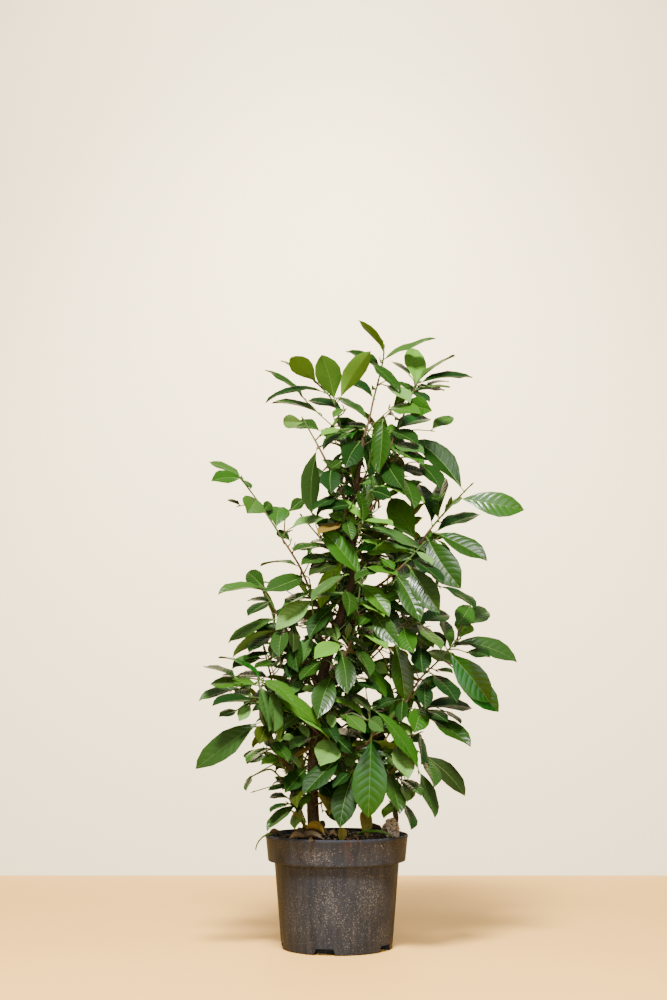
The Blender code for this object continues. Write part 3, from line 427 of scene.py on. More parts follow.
# A drawn twig farther than the first of these from all wood, or a shown leaf farther than the second,
# is joined to it. A leaf's own twig starts back down the wood, runs in to the leaf's foot and rises on
# the way, all as shares of that distance.
TWIG_JOIN = 2.0
STALK_REACH = 2.5
TWIG_BACK = 0.5
TWIG_RUN_IN = (0.4, 12.0)
TWIG_BEND = 0.6
TWIG_RISE = 0.1

# Finer twigs that fill the crown, round after round: on what they grow, from which share of its length
# to which, the millimetres between two of them, and their size.
TWIG_ROUNDS = (
    ("trunk", 0.10, 0.97, 26.0, 1.0), ("boughs", 0.25, 1.0, 26.0, 1.0), ("stems", 0.05, 0.70, 26.0, 1.0),
    ("trunk", 0.02, 0.22, 9.0, 0.62), ("trunk", 0.1, 1.0, 26.0, 0.72), ("boughs", 0.1, 1.0, 26.0, 0.72),
    ("trunk", 0.08, 0.9, 16.0, 0.5), ("boughs", 0.08, 0.9, 16.0, 0.5), ("stems", 0.08, 0.6, 16.0, 0.5),
)
TWIG_LENGTHS = (30.0, 62.0)
TWIG_SPREAD = (48.0, 74.0)
TWIG_TURN = 30.0
TWIG_LIFT = 0.3
TWIG_LEAVES = 5
TWIG_LEAF_PLACES = (0.3, 0.69)
TWIG_LEAF_LENGTHS = (66.0, 98.0)
TWIG_RADII = (1.3, 0.8)
TWIG_KNOTS = 0.16
TWIG_SPANS = 3
TWIG_SIDES = 7
# The tones of their leaves are brighter than such leaves' own: painted light that makes up for the shade
# inside the crown.
TWIG_TONES = "rmgmemgbmr"

# The bud at a twig's tip: how far past the tip each ring lies, and its share of the tip's radius.
BUD = ((1.5, 1.25), (4.0, 1.45), (7.0, 0.95), (9.5, 0.15))

# Leaves nearer to the viewer than this turn their faces forward by that much.
FRONT_DEPTH = 30.0
FRONT_TURN = 0.8

# The crown's reach is taken in slices of this height, and fine leaves keep to this share of it.
REACH_SLICE = 40.0
REACH_SHARE = 0.84
LOOSE_SHARE = 0.8

# Where the photo shows the sky through the crown: radius, then across and height.
OPENINGS = {
    7: (
        (143, 977), (85, 975), (95, 961), (157, 953), (108, 934), (-42, 914), (-32, 895), (-24, 894),
        (63, 873), (18, 873), (164, 868), (-10, 867), (126, 838), (-29, 823), (-24, 779), (200, 738),
        (-23, 731), (-93, 714), (196, 704), (-85, 679), (221, 674), (143, 673), (194, 643), (-61, 631),
        (-125, 610), (-133, 566), (-83, 564), (-38, 536), (-166, 480), (75, 466), (-95, 435), (45, 402),
        (-54, 396), (-139, 367), (6, 355), (65, 333), (-103, 227), (58, 198),
    ),
    8: (
        (-95, 910), (-74, 894), (-90, 885), (-72, 872), (-45, 863), (-37, 858), (-42, 809), (-204, 773),
        (-158, 738), (79, 713), (-60, 703), (66, 696), (145, 683), (-66, 656), (202, 635), (-50, 608),
        (-73, 570), (187, 556), (-130, 528), (-145, 523), (228, 511), (-58, 505), (65, 466), (-142, 334),
        (68, 203),
    ),
    9: (
        (57, 982), (70, 966), (26, 902), (-42, 899), (160, 897), (50, 878), (206, 709), (60, 589),
        (-197, 451), (248, 449), (-185, 359), (-138, 280), (170, 253),
    ),
    10: (
        (107, 963), (86, 946), (163, 939), (96, 938), (-54, 919), (-84, 873), (81, 696), (214, 623),
        (75, 592), (-145, 564), (-96, 554), (-119, 533), (-177, 476),
    ),
    11: ((10, 958), (53, 924), (43, 890), (66, 862), (-184, 448)),
    12: ((183, 943), (-67, 926), (28, 863), (141, 838), (-9, 803), (-35, 587), (128, 225)),
    13: ((-84, 938), (-20, 855), (-172, 734), (58, 394)),
    14: ((81, 897), (-106, 605)),
    16: ((-119, 270),),
    17: ((-50, 666), (-88, 615)),
}

# The crown's sides as the photo shows them: height, and across on the left and on the right.
CROWN_SIDES = (
    (185, -112, 121), (210, -106, 161), (236, -105, 164), (261, -146, 197), (287, -227, 175),
    (313, -219, 163), (339, -194, 202), (364, -187, 202), (390, -209, 262), (416, -207, 254),
    (442, -206, 247), (468, -178, 276), (494, -177, 233), (520, -147, 229), (547, -146, 227),
    (573, -154, 210), (599, -148, 209), (626, -79, 241), (652, -87, 232), (679, -104, 222),
    (705, -150, 282), (732, -177, 274), (758, -207, 211), (785, -51, 195), (812, -44, 167),
    (839, -78, 162), (866, -86, 162), (893, -96, 159), (920, -98, 186), (947, -81, 184),
    (974, 54, 144), (1001, 52, 63), (1029, 39, 44),
)

# A leaf's own outline: places from the foot of its blade to its tip, and shares of its half width.
OUTLINE = (
    (0.0, 0.05), (0.11, 0.31), (0.25, 0.67), (0.42, 0.95), (0.60, 1.0), (0.77, 0.80), (0.91, 0.37),
    (1.0, 0.012),
)
RIB_COLUMN = 0.05
UPPER_COLUMNS = (-1.0, -0.5, -RIB_COLUMN, RIB_COLUMN, 0.5, 1.0)
LOWER_COLUMNS = (-1.0, -RIB_COLUMN, RIB_COLUMN, 1.0)
CURLED = 0.4

# The exporter keeps a piece's own map where it has this name. All leaves of a tone share it.
LEAF_MAP = "OFBake"
UPPER_MIDDLE, LOWER_MIDDLE, MAP_HALF_WIDTH = 0.25, 0.75, 0.235
MAP_ENDS = (0.02, 0.96)
STALK_STRIP = (0.492, 0.508)
STALK_ANGLES = (0.0, math.pi / 2, math.pi, -math.pi / 2)
STALK_SWELL = (1.5, 0.9)
STALK_OVERLAP = 1.1
LEAVES_TO_A_PIECE = 1200

# How a blade departs from a flat one, as shares: twist, sway of its midrib, how much chance folds it,
# the swell of its halves, and the wave of its margin with its height, waves to a leaf, and the parts
# that chance and the side play. A curled half draws in by the last share.
TWIST = 0.16
SWAY = 0.035
FOLD_CHANCE = 0.5
SWELL = 0.10
WAVE_HEIGHT, WAVE_COUNT, WAVE_CHANCE, WAVE_SIDE = 0.07, 1.8, 0.35, 0.3
DRAW_IN = 0.5

# The midrib tapers by the second share, from this share of the stalk's radius, and stands out below.
RIB_START, RIB_TAPER, RIB_LIMIT, RIB_DEPTH = 0.5, 0.7, 0.6, 0.6

# Side veins: how they curve and lean forward, and where they fade out towards the margin.
VEIN_CURVE = 1.25
VEIN_LEAN = 0.17
VEIN_FADE = (0.55, 0.97)
UNDERSIDE_SHARE = 0.25

# Tones of leaf: the letter that the tables use, the name, and the wax's roughness and specular level.
TONES = {
    "h": ("shaded", 0.48, 0.06), "d": ("deep", 0.42, 0.1), "u": ("dull", 0.42, 0.1),
    "r": ("rich", 0.34, 0.2), "e": ("mossy", 0.36, 0.16), "m": ("mature", 0.34, 0.2),
    "g": ("glossy", 0.27, 0.3), "v": ("silvery", 0.27, 0.28), "s": ("painted_sheen", 0.3, 0.18),
    "b": ("bright", 0.34, 0.18), "f": ("fresh", 0.38, 0.14), "l": ("pale", 0.42, 0.1),
    "k": ("dark_olive", 0.5, 0.06), "o": ("olive", 0.5, 0.06), "a": ("ochre", 0.6, 0.05),
    "y": ("yellowing", 0.42, 0.1),
}

FOLIAGE_NODES = [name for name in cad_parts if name.endswith("_leaves")]
LITTER_NODES = (
    "clump", "fallen_green_leaf", "fallen_brown_leaf", "fallen_dead_leaf", "rim_leaf",
)

# Bark: spans between two named points and sides to a ring, the trunk's start below the compost and its
# root's extra width, and how far a bough swells where it leaves the trunk, and over how many rings.
TRUNK_SPANS = 10
TRUNK_START = (6.0, 3.0)
TRUNK_SIDES = 24
BOUGH_SPANS = 8
BOUGH_SWELL = (1.6, 3)
BOUGH_SIDES = 14

# Cut stubs of pruned wood: their two ends and their radius.
STUBS = (
    ((27, -44, 519), (35, -60, 528), 3.4),
    ((44, -38, 345), (60, -52, 350), 3.2),
)

# Marks on the front of the pot: middle as across and height, half size, strength.
POT_DUST = (
    ((-30, 153), (40, 20), 0.6), ((-12, 84), (36, 52), 0.5), ((50, 88), (42, 58), 0.55),
    ((10, 60), (80, 70), 0.3), ((-62, 60), (36, 60), 0.25), ((78, 30), (30, 30), 0.35),
    ((60, 158), (40, 20), 0.25),
)
POT_RUST = (((16, 161), (20, 22), 0.5), ((25, 146), (12, 16), 0.45))

# Litter, by tone and curl: the solids it stands for, and the root, azimuth, rise, length, width,
# droop and roll of each leaf.
LITTER_LEVEL = 176.0
CLUMP_SIZE = (15.0, 13.0, 19.0)
CLUMP_PLACE = (89.0, 24.0)
CLUMP_RISE = 0.72
LITTER = {
    "fallen_green_leaf_fine": (
        "o", -0.2, ["fallen_green_leaf"], (((22, -58, LITTER_LEVEL), 356, 2, 72, 22, 76, 0),),
    ),
    "fallen_brown_leaves_fine": (
        "", 0.75, ["fallen_brown_leaf", "fallen_dead_leaf"],
        (
            ((-6, -66, 181), 172, 4, 40, 22, 40, 16), ((-20, -94, 179), 164, 2, 34, 17, 36, -24),
            ((92, 44, 170), 110, 74, 62, 15, 40, 20), ((-76, -60, 177), 24, 8, 34, 18, 44, 30),
            ((-46, -84, 180), 200, 2, 30, 15, 30, 34), ((-60, -40, 178), 66, 12, 38, 20, 50, -30),
            ((14, -80, 178), 150, 8, 32, 16, 36, 30), ((40, 20, 178), 30, 6, 40, 20, 50, 12),
            ((-20, 40, 180), 120, 8, 42, 20, 44, 16), ((66, -40, 174), 60, 8, 34, 17, 40, -20),
            ((-58, -76, 180), 330, 4, 28, 14, 46, -36), ((-34, -66, 182), 80, 10, 30, 15, 50, 40),
            ((-84, -30, 176), 140, 6, 34, 16, 40, 20), ((-36, -98, 177), 250, 0, 24, 12, 40, -30),
            ((-66, -50, 181), 280, 6, 30, 15, 60, 50), ((-14, -78, 182), 300, 6, 26, 13, 50, -44),
        ),
    ),
    "rim_leaf_fine": ("o", 0.1, ["rim_leaf"], (((-98, -32, 181.1), 184, -40, 46, 18, 96, 0),)),
    "leaf_scraps": (
        "y", 0.4, [],
        (
            ((6, -92, 172), 80, 70, 26, 18, 30, 20), ((48, -44, 171), 100, 62, 54, 26, 36, 0),
            ((-44, -52, 171), 172, 58, 60, 17, 40, 10),
        ),
    ),
    "curled_yellow_leaf": ("a", 1.0, [], (((-18, -86, 184), 160, 14, 36, 18, 70, -16),)),
}

# Root fibres over the rim: the points that each one passes, and its radius.
FIBRE_SIDES = 6
FIBRES = (
    (((8, -96, 173), (14, -112, 182), (20, -117, 178), (22, -117, 168)), 0.6),
    (((30, -94, 172), (30, -110, 183), (36, -116, 176), (40, -115, 170)), 0.5),
    (((18, -90, 174), (26, -108, 186), (32, -115, 182), (28, -117, 172)), 0.45),
)

# Fibres of the clump: how many there are, where they start from its middle, which ways they run, how far
# to their bend and to their end, how far they sag, and their radii.
CLUMP_FIBRES = 14
CLUMP_FIBRE_FEET = ((-16, 12), (-16, 10), (0, 20))
CLUMP_FIBRE_WAYS = ((-1, 1), (-1.4, 0.4), (-0.2, 1))
CLUMP_FIBRE_LENGTHS = (7, 13)
CLUMP_FIBRE_RADII = (0.6, 0.3)
FIBRE_SAG = 5

# Studio light: where each lamp stands and aims, its diameter or cone, its power and its colour.
WORLD_STRENGTH = 0.36
LIGHTS = (
    ("key", (-0.2, -1.75, 2.75), (0.0, 0.0, 0.3), 0.7, 415.0, (1.0, 0.98, 0.95)),
    ("fill", (0.4, -3.4, 0.9), (0.0, 0.0, 0.6), 2.4, 125.0, (0.98, 0.99, 1.0)),
    ("top", (-0.2, -0.9, 3.2), (0.0, 0.0, 0.3), 1.0, 12.0, (1.0, 0.99, 0.97)),
)
SPOT_RADIUS = 0.2
BACKDROP_LIGHTS = (
    ("backdrop", (0.0, 0.2, 6.4), (0.0, 3.8, 0.9), 66.0, 4700.0, (1.0, 0.99, 0.95)),
    ("backdrop_foot", (0.0, 1.2, 5.6), (0.0, 3.8, -1.2), 52.0, 4800.0, (1.0, 0.93, 0.78)),
)
BACKDROP_SIZE = (8.0, 4.6)
BACKDROP_PLACE = (0.0, 3.8, 1.6)
FLOOR_SIZE = (12.0, 7.0)
FLOOR_PLACE = (0.0, -2.5, -0.0003)

# Camera: fitted to the ovals of the pot's rim, collar and foot in the photo.
CAMERA_PLACE = (-0.0053, -2.7, 0.418)
CAMERA_RISE = 6.42
CAMERA_LENS = 59.15


def linear(code):
    """A colour of the eye's scale, written as hex, as the linear values that a shader takes."""
    shares = [int(code[place:place + 2], 16) / 255 for place in (1, 3, 5)]
    return tuple(s / 12.92 if s <= 0.04045 else ((s + 0.055) / 1.055) ** 2.4 for s in shares)


def tint(label, description, code):
    return bpy.props.FloatVectorProperty(
        name=label, description=description, subtype="COLOR", size=3, min=0, max=1,
        default=linear(code),
    )


class LaurelSizes(bpy.types.PropertyGroup):
    """The sizes that a user would change."""

    leaf_thickness: bpy.props.FloatProperty(
        name="Leaf thickness", description="Thickness of a blade at its midrib",
        default=0.0007, unit="LENGTH",
    )
    stalk_radius: bpy.props.FloatProperty(
        name="Leaf stalk radius", description="Radius of the stalk that carries a blade",
        default=0.0009, unit="LENGTH",
    )
    stalk_share: bpy.props.FloatProperty(
        name="Stalk share", description="Share of a leaf's length that is stalk", default=0.09,
    )
    leaf_fold: bpy.props.FloatProperty(
        name="Leaf fold", description="How far a blade's halves rise from its midrib",
        default=math.radians(15), subtype="ANGLE",
    )
    vein_pairs: bpy.props.IntProperty(
        name="Vein pairs", description="Side veins on each half of a blade", default=9,
    )
    bark_relief: bpy.props.FloatProperty(
        name="Bark relief", description="Height of the ridges of the bark",
        default=0.0009, unit="LENGTH",
    )
    crumbs: bpy.props.IntProperty(
        name="Crumbs", description="Crumbs of compost on the top of the pot", default=2000,
    )


class LaurelColours(bpy.types.PropertyGroup):
    """The colours that a user would change."""

    shaded: tint("Shaded leaf", "The oldest leaves, deep in the crown", "#102705")
    # Partly painted shade: besides old leaves, this darker green stands on leaves inside the crown where
    # shade falls.
    deep: tint("Deep leaf", "Old leaves inside the crown", "#0c2306")
    dull: tint("Dull leaf", "Old leaves without shine", "#19250a")
    rich: tint("Rich leaf", "Full grown leaves in shade", "#0a3904")
    mossy: tint("Mossy leaf", "Full grown leaves, yellower", "#162f05")
    mature: tint("Mature leaf", "Most leaves", "#1e350e")
    glossy: tint("Glossy leaf", "Full grown leaves that face the light", "#1f4109")
    silvery: tint("Silvery leaf", "Full grown leaves that mirror the light", "#1c340d")
    # Painted sheen: a pale grey-green that stands in for the light these leaves reflect.
    painted_sheen: tint("Grey leaf", "Old leaves with a grey bloom", "#2c471d")
    bright: tint("Bright leaf", "Soft new leaves", "#2a4b0e")
    fresh: tint("Fresh leaf", "Leaves of this year", "#2a4614")
    # Partly the colour of young leaves, partly painted light: it also stands on leaves that look bright
    # from their sheen or the light on them.
    pale: tint("Pale leaf", "The youngest leaves", "#4a6b30")
    # Painted light: olive greens that stand in for light shining through the leaves, which their
    # material does not let through.
    dark_olive: tint("Dark olive leaf", "Old leaves that the light shines through", "#263004")
    olive: tint("Olive leaf", "Leaves that the light shines through", "#466e21")
    yellowing: tint("Yellowing leaf", "Leaves about to fall", "#55501d")
    ochre: tint("Ochre leaf", "Leaves that have turned", "#594819")
    underside: tint("Underside", "The dull side of a leaf", "#35481d")
    rib: tint("Midrib", "Midribs and leaf stalks", "#486029")
    bark: tint("Bark", "Trunk and boughs", "#302717")
    shoot: tint("Shoot", "Young green stems", "#2c3f18")
    red_shoot: tint("Reddish shoot", "Stems of last year", "#3f3120")
    pot: tint("Pot", "Recycled grey-brown plastic", "#191d24")
    dust: tint("Dust", "Dried splashes on the pot", "#5f5b57")
    rust: tint("Rust", "The reddish run below the rim", "#452716")
    compost: tint("Compost", "Moist bark compost", "#1f1610")
    dead_leaf: tint("Dead leaf", "Fallen leaves that have dried", "#3a2f1d")
    wood_chip: tint("Wood chip", "Pale broken bark", "#695c4c")
    floor: tint("Floor", "The studio's floor", "#e2ad57")
    wall: tint("Backdrop", "The studio's backdrop", "#f3e2bc")


def sizes():
    return bpy.context.scene.laurel_sizes


def colour(name):
    """One of the plant's colours with full opacity."""
    return (*getattr(bpy.context.scene.laurel_colours, name), 1.0)


def darker(shade, share):
    return (shade[0] * share, shade[1] * share, shade[2] * share, 1.0)


def add_node(tree, kind, inputs=None, **settings):
    """Adds a node with its settings, values and links, and hands back its first output in use."""
    made = tree.nodes.new("ShaderNode" + kind)
    for name, value in settings.items():
        setattr(made, name, value)
    for socket, value in (inputs or {}).items():
        if isinstance(value, bpy.types.NodeSocket):
            tree.links.new(value, made.inputs[socket])
        else:
            made.inputs[socket].default_value = value
    return next(socket for socket in made.outputs if socket.enabled)


def new_material(name, base, roughness, specular=0.5):
    """A plain Principled material, whose values stay on its sockets unless a pattern links to them."""
    made = bpy.data.materials.new(name)
    made.use_nodes = True
    shader = made.node_tree.nodes["Principled BSDF"]
    shader.inputs["Base Color"].default_value = base
    shader.inputs["Roughness"].default_value = roughness
    shader.inputs["Specular IOR Level"].default_value = specular
    return made, made.node_tree, shader


# Paths, limbs and coarse blades, by the rule of the plant's source.


def smooth_path(points, spans):
    """Points on a smooth curve through the given ones, with a number of spans between each two."""
    marks = [Vector(point) for point in points]
    ends = [2 * marks[0] - marks[1]] + marks + [2 * marks[-1] - marks[-2]]
    path = []
    for before, first, second, after in zip(ends, ends[1:], ends[2:], ends[3:]):
        for step in range(spans):
            t = step / spans
            path.append(
                0.5 * (
                    2 * first
                    + (second - before) * t
                    + (2 * before - 5 * first + 4 * second - after) * t * t
                    + (3 * first - before - 3 * second + after) * t ** 3
                )
            )
    return path + [marks[-1]]


def along(path, share):
    """The point and the direction at a share of the way along a path."""
    lengths = [0.0]
    for first, second in zip(path, path[1:]):
        lengths.append(lengths[-1] + (second - first).length)
    wanted = share * lengths[-1]
    for index, (first, second) in enumerate(zip(path, path[1:])):
        if wanted <= lengths[index + 1] or index == len(path) - 2:
            local = (wanted - lengths[index]) / (lengths[index + 1] - lengths[index])
            return first.lerp(second, local), (second - first).normalized()
    return path[-1], (path[-1] - path[-2]).normalized()


def limb(path, radii, sides, first_heading=None):
    """Rings of a tapering limb round a path, and its faces."""
    points = []
    side = None
    for index, centre in enumerate(path):
        before = path[max(index - 1, 0)]
        after = path[min(index + 1, len(path) - 1)]
        heading = (after - before).normalized()
        if index == 0 and first_heading:
            heading = first_heading
        if side is None:
            side = heading.orthogonal().normalized()
        side = (side - side.dot(heading) * heading).normalized()
        other = heading.cross(side)
        for corner in range(sides):
            angle = 2 * math.pi * corner / sides
            points.append(centre + radii[index] * (math.cos(angle) * side + math.sin(angle) * other))
    faces = [tuple(reversed(range(sides)))]
    for ring in range(len(path) - 1):
        for corner in range(sides):
            low = ring * sides + corner
            beside = ring * sides + (corner + 1) % sides
            faces.append((low, beside, beside + sides, low + sides))
    faces.append(tuple(range(len(points) - sides, len(points))))
    return points, faces


def drawn_from(limits, luck):
    """The value between two limits that a draw from -1 to 1 stands for."""
    return limits[0] + (limits[1] - limits[0]) * (luck + 1) / 2


def tapered(count, first, last):
    return [first + (last - first) * index / (count - 1) for index in range(count)]


def tree_of(solid):
    return BVHTree.FromPolygons([tuple(p) for p in solid[0]], solid[1], epsilon=0.0)


def node_solid(name):
    """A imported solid's corners in millimetres, and its faces."""
    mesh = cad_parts[name].data
    return [vert.co / MM for vert in mesh.vertices], [tuple(face.vertices) for face in mesh.polygons]


def seated_path(path, radii, sides, carrier):
    """The path with its start moved along it until the limb is just clear of what carries it."""
    inside, outside = 0.0, SEAT_REACH
    heading = (path[1] - path[0]).normalized()
    for _ in range(SEAT_STEPS):
        middle = (inside + outside) / 2
        start = path[0] + heading * (middle - GAP)
        if tree_of(limb([start] + path[1:], radii, sides)).overlap(carrier):
            inside = middle
        else:
            outside = middle
    return [path[0] + heading * outside] + path[1:]


def blade(root, chord, face, length, width, droop, grow=0.0):
    """A coarse leaf that bows over its chord: a root, three sections of three corners, and a tip."""
    across = face.cross(chord).normalized()
    bend = math.radians(droop)
    heading = math.cos(bend / 2) * chord + math.sin(bend / 2) * face
    normal = math.cos(bend / 2) * face - math.sin(bend / 2) * chord
    half = STALK_RADIUS + grow
    points = [root + half * across, root - half * across, root - STALK_DEPTH * half * normal]
    for place, share in LEAF_STATIONS:
        angle = bend * place
        centre = root + length / bend * (math.sin(angle) * heading - (1 - math.cos(angle)) * normal)
        above = math.cos(angle) * normal + math.sin(angle) * heading
        reach = share * width / 2 + grow
        middle = centre + grow * above
        points += [middle + reach * across, middle - reach * across]
        points.append(centre - (LEAF_THICKNESS * length + grow) * above)
    tip = root + length / bend * (math.sin(bend) * heading - (1 - math.cos(bend)) * normal)
    points.append(tip + grow * heading)
    faces = [(2, 1, 0)]
    for ring in range(len(LEAF_STATIONS)):
        for corner in range(3):
            low = 3 * ring + corner
            beside = 3 * ring + (corner + 1) % 3
            faces += [(low, beside, beside + 3), (low, beside + 3, low + 3)]
    last = 3 * len(LEAF_STATIONS)
    faces += [(last + corner, last + (corner + 1) % 3, last + 3) for corner in range(3)]
    return points, faces


def sight(across, height, depth):
    """The place at a depth that is seen where that place on the plane of the trunk is seen."""
    eye = Vector(CAMERA_PLACE) / MM
    return eye + (Vector((across, 0, height)) - eye) * ((depth - eye.y) / -eye.y)


def facing_leaf(root, tip, seen_width, full_width, towards_eye):
    """Chord and normal of a leaf from its root to its tip that looks this wide of its full width."""
    chord = (tip - root).normalized()
    facing = (towards_eye - towards_eye.dot(chord) * chord).normalized()
    upright = chord.cross(facing).normalized()
    if upright.z < 0:
        upright = -upright
    turn = math.acos(min(1.0, abs(seen_width) / full_width))
    normal = math.cos(turn) * (facing if seen_width > 0 else -facing) + math.sin(turn) * upright
    return chord, normal


def foreshortened(seen_length, seen_width, blade_length, hangs, lean):
    """Full length and width of a leaf that looks this long and wide, and its tilt to the viewer."""
    length = min(max(blade_length, seen_length), seen_length / LEAST_FORESHORTENING)
    full_width = max(LEAF_WIDTH * length, abs(seen_width))
    towards = 1 if hangs == (seen_width > 0) else -1
    tilt = towards * math.acos(min(1.0, seen_length / length)) + math.radians(lean)
    return length, full_width, tilt


def inner_leaf(root, bearing, seen_length, seen_width, blade_length, shift):
    """Heading, normal, length and width of a leaf that looks this long and this wide."""
    aside, lean = shift
    angle = math.radians(bearing + aside)
    flat = Vector((math.cos(angle), 0, math.sin(angle)))
    length, full_width, tilt = foreshortened(seen_length, seen_width, blade_length, flat.z < 0, lean)
    tip = root + math.cos(tilt) * flat + math.sin(tilt) * VIEWER
    return *facing_leaf(root, tip, seen_width, full_width, VIEWER), length, full_width


def shown_leaf(mark, depth, blade_length, shift):
    """Root, heading, normal, length, width and bow of a leaf whose foot and tip the photo shows."""
    left, low, right, high, seen_width, droop = mark
    left, low = left - STALK_EXTRA * (right - left), low - STALK_EXTRA * (high - low)
    back, lean = shift
    root = sight(left, low, depth + back)
    flat_tip = sight(right, high, depth + back)
    seen_length = (flat_tip - root).length
    seen_width *= SEEN_WIDTH * seen_length / math.hypot(right - left, high - low)
    hangs = flat_tip.z < root.z
    _, full_width, tilt = foreshortened(seen_length, seen_width, blade_length, hangs, lean)
    towards_eye = (Vector(CAMERA_PLACE) / MM - flat_tip).normalized()
    tip = flat_tip + seen_length * math.tan(tilt) * towards_eye
    chord, normal = facing_leaf(root, tip, seen_width, full_width, towards_eye)
    half_bend = math.radians(droop) / 2
    return root, chord, normal, (tip - root).length * half_bend / math.sin(half_bend), full_width, droop


def far_leaf(stem_heading, index, blade_length, shift, chance):
    """Heading, normal, length and width of a leaf two fifths of a turn from the one before."""
    aside, lean = shift
    side = stem_heading.orthogonal().normalized()
    angle = TWO_FIFTHS * index + BACK_SHIFT[0] * aside + chance[0] * BACK_CHANCE[0]
    outward = Matrix.Rotation(math.radians(angle), 3, stem_heading) @ side
    spread = math.radians(BACK_SPREAD + BACK_SHIFT[1] * lean + chance[1] * BACK_CHANCE[1])
    heading = (math.cos(spread) * stem_heading + math.sin(spread) * outward).normalized()
    normal = UP - UP.dot(heading) * heading
    if normal.length < NEARLY_UPRIGHT:
        normal = -(VIEWER - VIEWER.dot(heading) * heading)
    size, fullness = BACK_SIZES
    length = blade_length * (size + (1 - size) * chance[2])
    width = FAR_LEAF_WIDTH * length * (fullness + (1 - fullness) * chance[3])
    return heading, normal.normalized(), length, width


class Crown:
    """What has grown so far, so that a new leaf can keep clear of it."""

    def __init__(self):
        self.owners = []
        self.kinds = []
        self.trees = []
        self.lows = np.empty((4000, 3))
        self.highs = np.empty((4000, 3))

    def add(self, owner, solid, kind):
        corners = np.array([tuple(p) for p in solid[0]])
        count = len(self.trees)
        self.lows[count] = corners.min(0)
        self.highs[count] = corners.max(0)
        self.owners.append(owner)
        self.kinds.append(kind)
        self.trees.append(tree_of(solid))

    def touches(self, owner, solid, kinds=("limb", "leaf"), own=False):
        corners = np.array([tuple(p) for p in solid[0]])
        count = len(self.trees)
        meets = (self.lows[:count] <= corners.max(0)) & (self.highs[:count] >= corners.min(0))
        tree = None
        for other in np.flatnonzero(meets.all(1)):
            if (self.owners[other] == owner) != own or self.kinds[other] not in kinds:
                continue
            tree = tree or tree_of(solid)
            if tree.overlap(self.trees[other]):
                return True
        return False


def outer_part(solid):
    """A leaf without its root, to test it against its neighbours on the same stem."""
    points, faces = solid
    middle = [points[corner].lerp(points[corner + 3], OUTER_START) for corner in range(3)]
    return middle + points[3:], faces


def grow_leaf(crown, owner, shifts, choose, allowed=None):
    """The first of the leaf's possible turns that keeps it clear and allowed, or nothing."""
    for shift in shifts:
        leaf = choose(shift)
        roomy = blade(*leaf, grow=LEAF_CLEARANCE)
        if allowed and not allowed(roomy[0]):
            continue
        if crown.touches(owner, roomy):
            continue
        if crown.touches(owner, outer_part(roomy), kinds=("outer",), own=True):
            continue
        keep_leaf(crown, owner, leaf)
        return leaf
    return None


def keep_leaf(crown, owner, leaf):
    solid = blade(*leaf)
    crown.add(owner, solid, "leaf")
    crown.add(owner, outer_part(solid), "outer")


def trunk_path(spans):
    return smooth_path([station[:3] for station in TRUNK], spans)


def trunk_point(height):
    """The middle of the trunk at a height."""
    path = trunk_path(SPANS)
    for first, second in zip(path, path[1:]):
        if first.z <= height <= second.z:
            return first.lerp(second, (height - first.z) / (second.z - first.z))
    return path[-1]


def bough_path(name, spans):
    height, points, _, _ = BOUGHS[name]
    return smooth_path([trunk_point(height)] + list(points), spans)


def pot_guard():
    """The pot's outer shape, which leaves keep clear of."""
    path = [Vector((0, 0, 0)), Vector((0, 0, POT_HEIGHT))]
    return limb(path, [BASE_RADIUS + GUARD_ROOM, RIM_RADIUS + GUARD_ROOM], GUARD_SIDES)


def shoot_stems():
    """Each shoot's stem from just clear of its bough's tip, or of the trunk, to its own tip."""
    carrier_tree = tree_of(node_solid("trunk"))
    tips = {"trunk": trunk_path(SPANS)}
    for name in BOUGHS:
        tips[name] = bough_path(name, SPANS)
    stems = {}
    for name, shoot in list(SHOOTS.items()) + list(BACK_SHOOTS.items()):
        carrier, points = shoot[0], shoot[1]
        heading = None
        if carrier in tips:
            heading = (tips[carrier][-1] - tips[carrier][-2]).normalized()
            start = tips[carrier][-1] + heading * GAP
        else:
            start = trunk_point(carrier)
        path = smooth_path([start] + list(points), SPANS)
        radii = tapered(len(path), *STEM_RADII)
        if carrier not in tips:
            path = seated_path(path, radii, STEM_SIDES, carrier_tree)
        stems[name] = path, limb(path, radii, STEM_SIDES, heading)
    return stems


def nearest(paths, place):
    """The point of all the paths that is nearest to a place, and its path's direction there."""
    best = None
    for path in paths:
        for first, second in zip(path, path[1:]):
            way = second - first
            share = min(max((place - first).dot(way) / way.dot(way), 0), 1)
            point = first + share * way
            if best is None or (place - point).length < best[0]:
                best = (place - point).length, point, way.normalized()
    return best


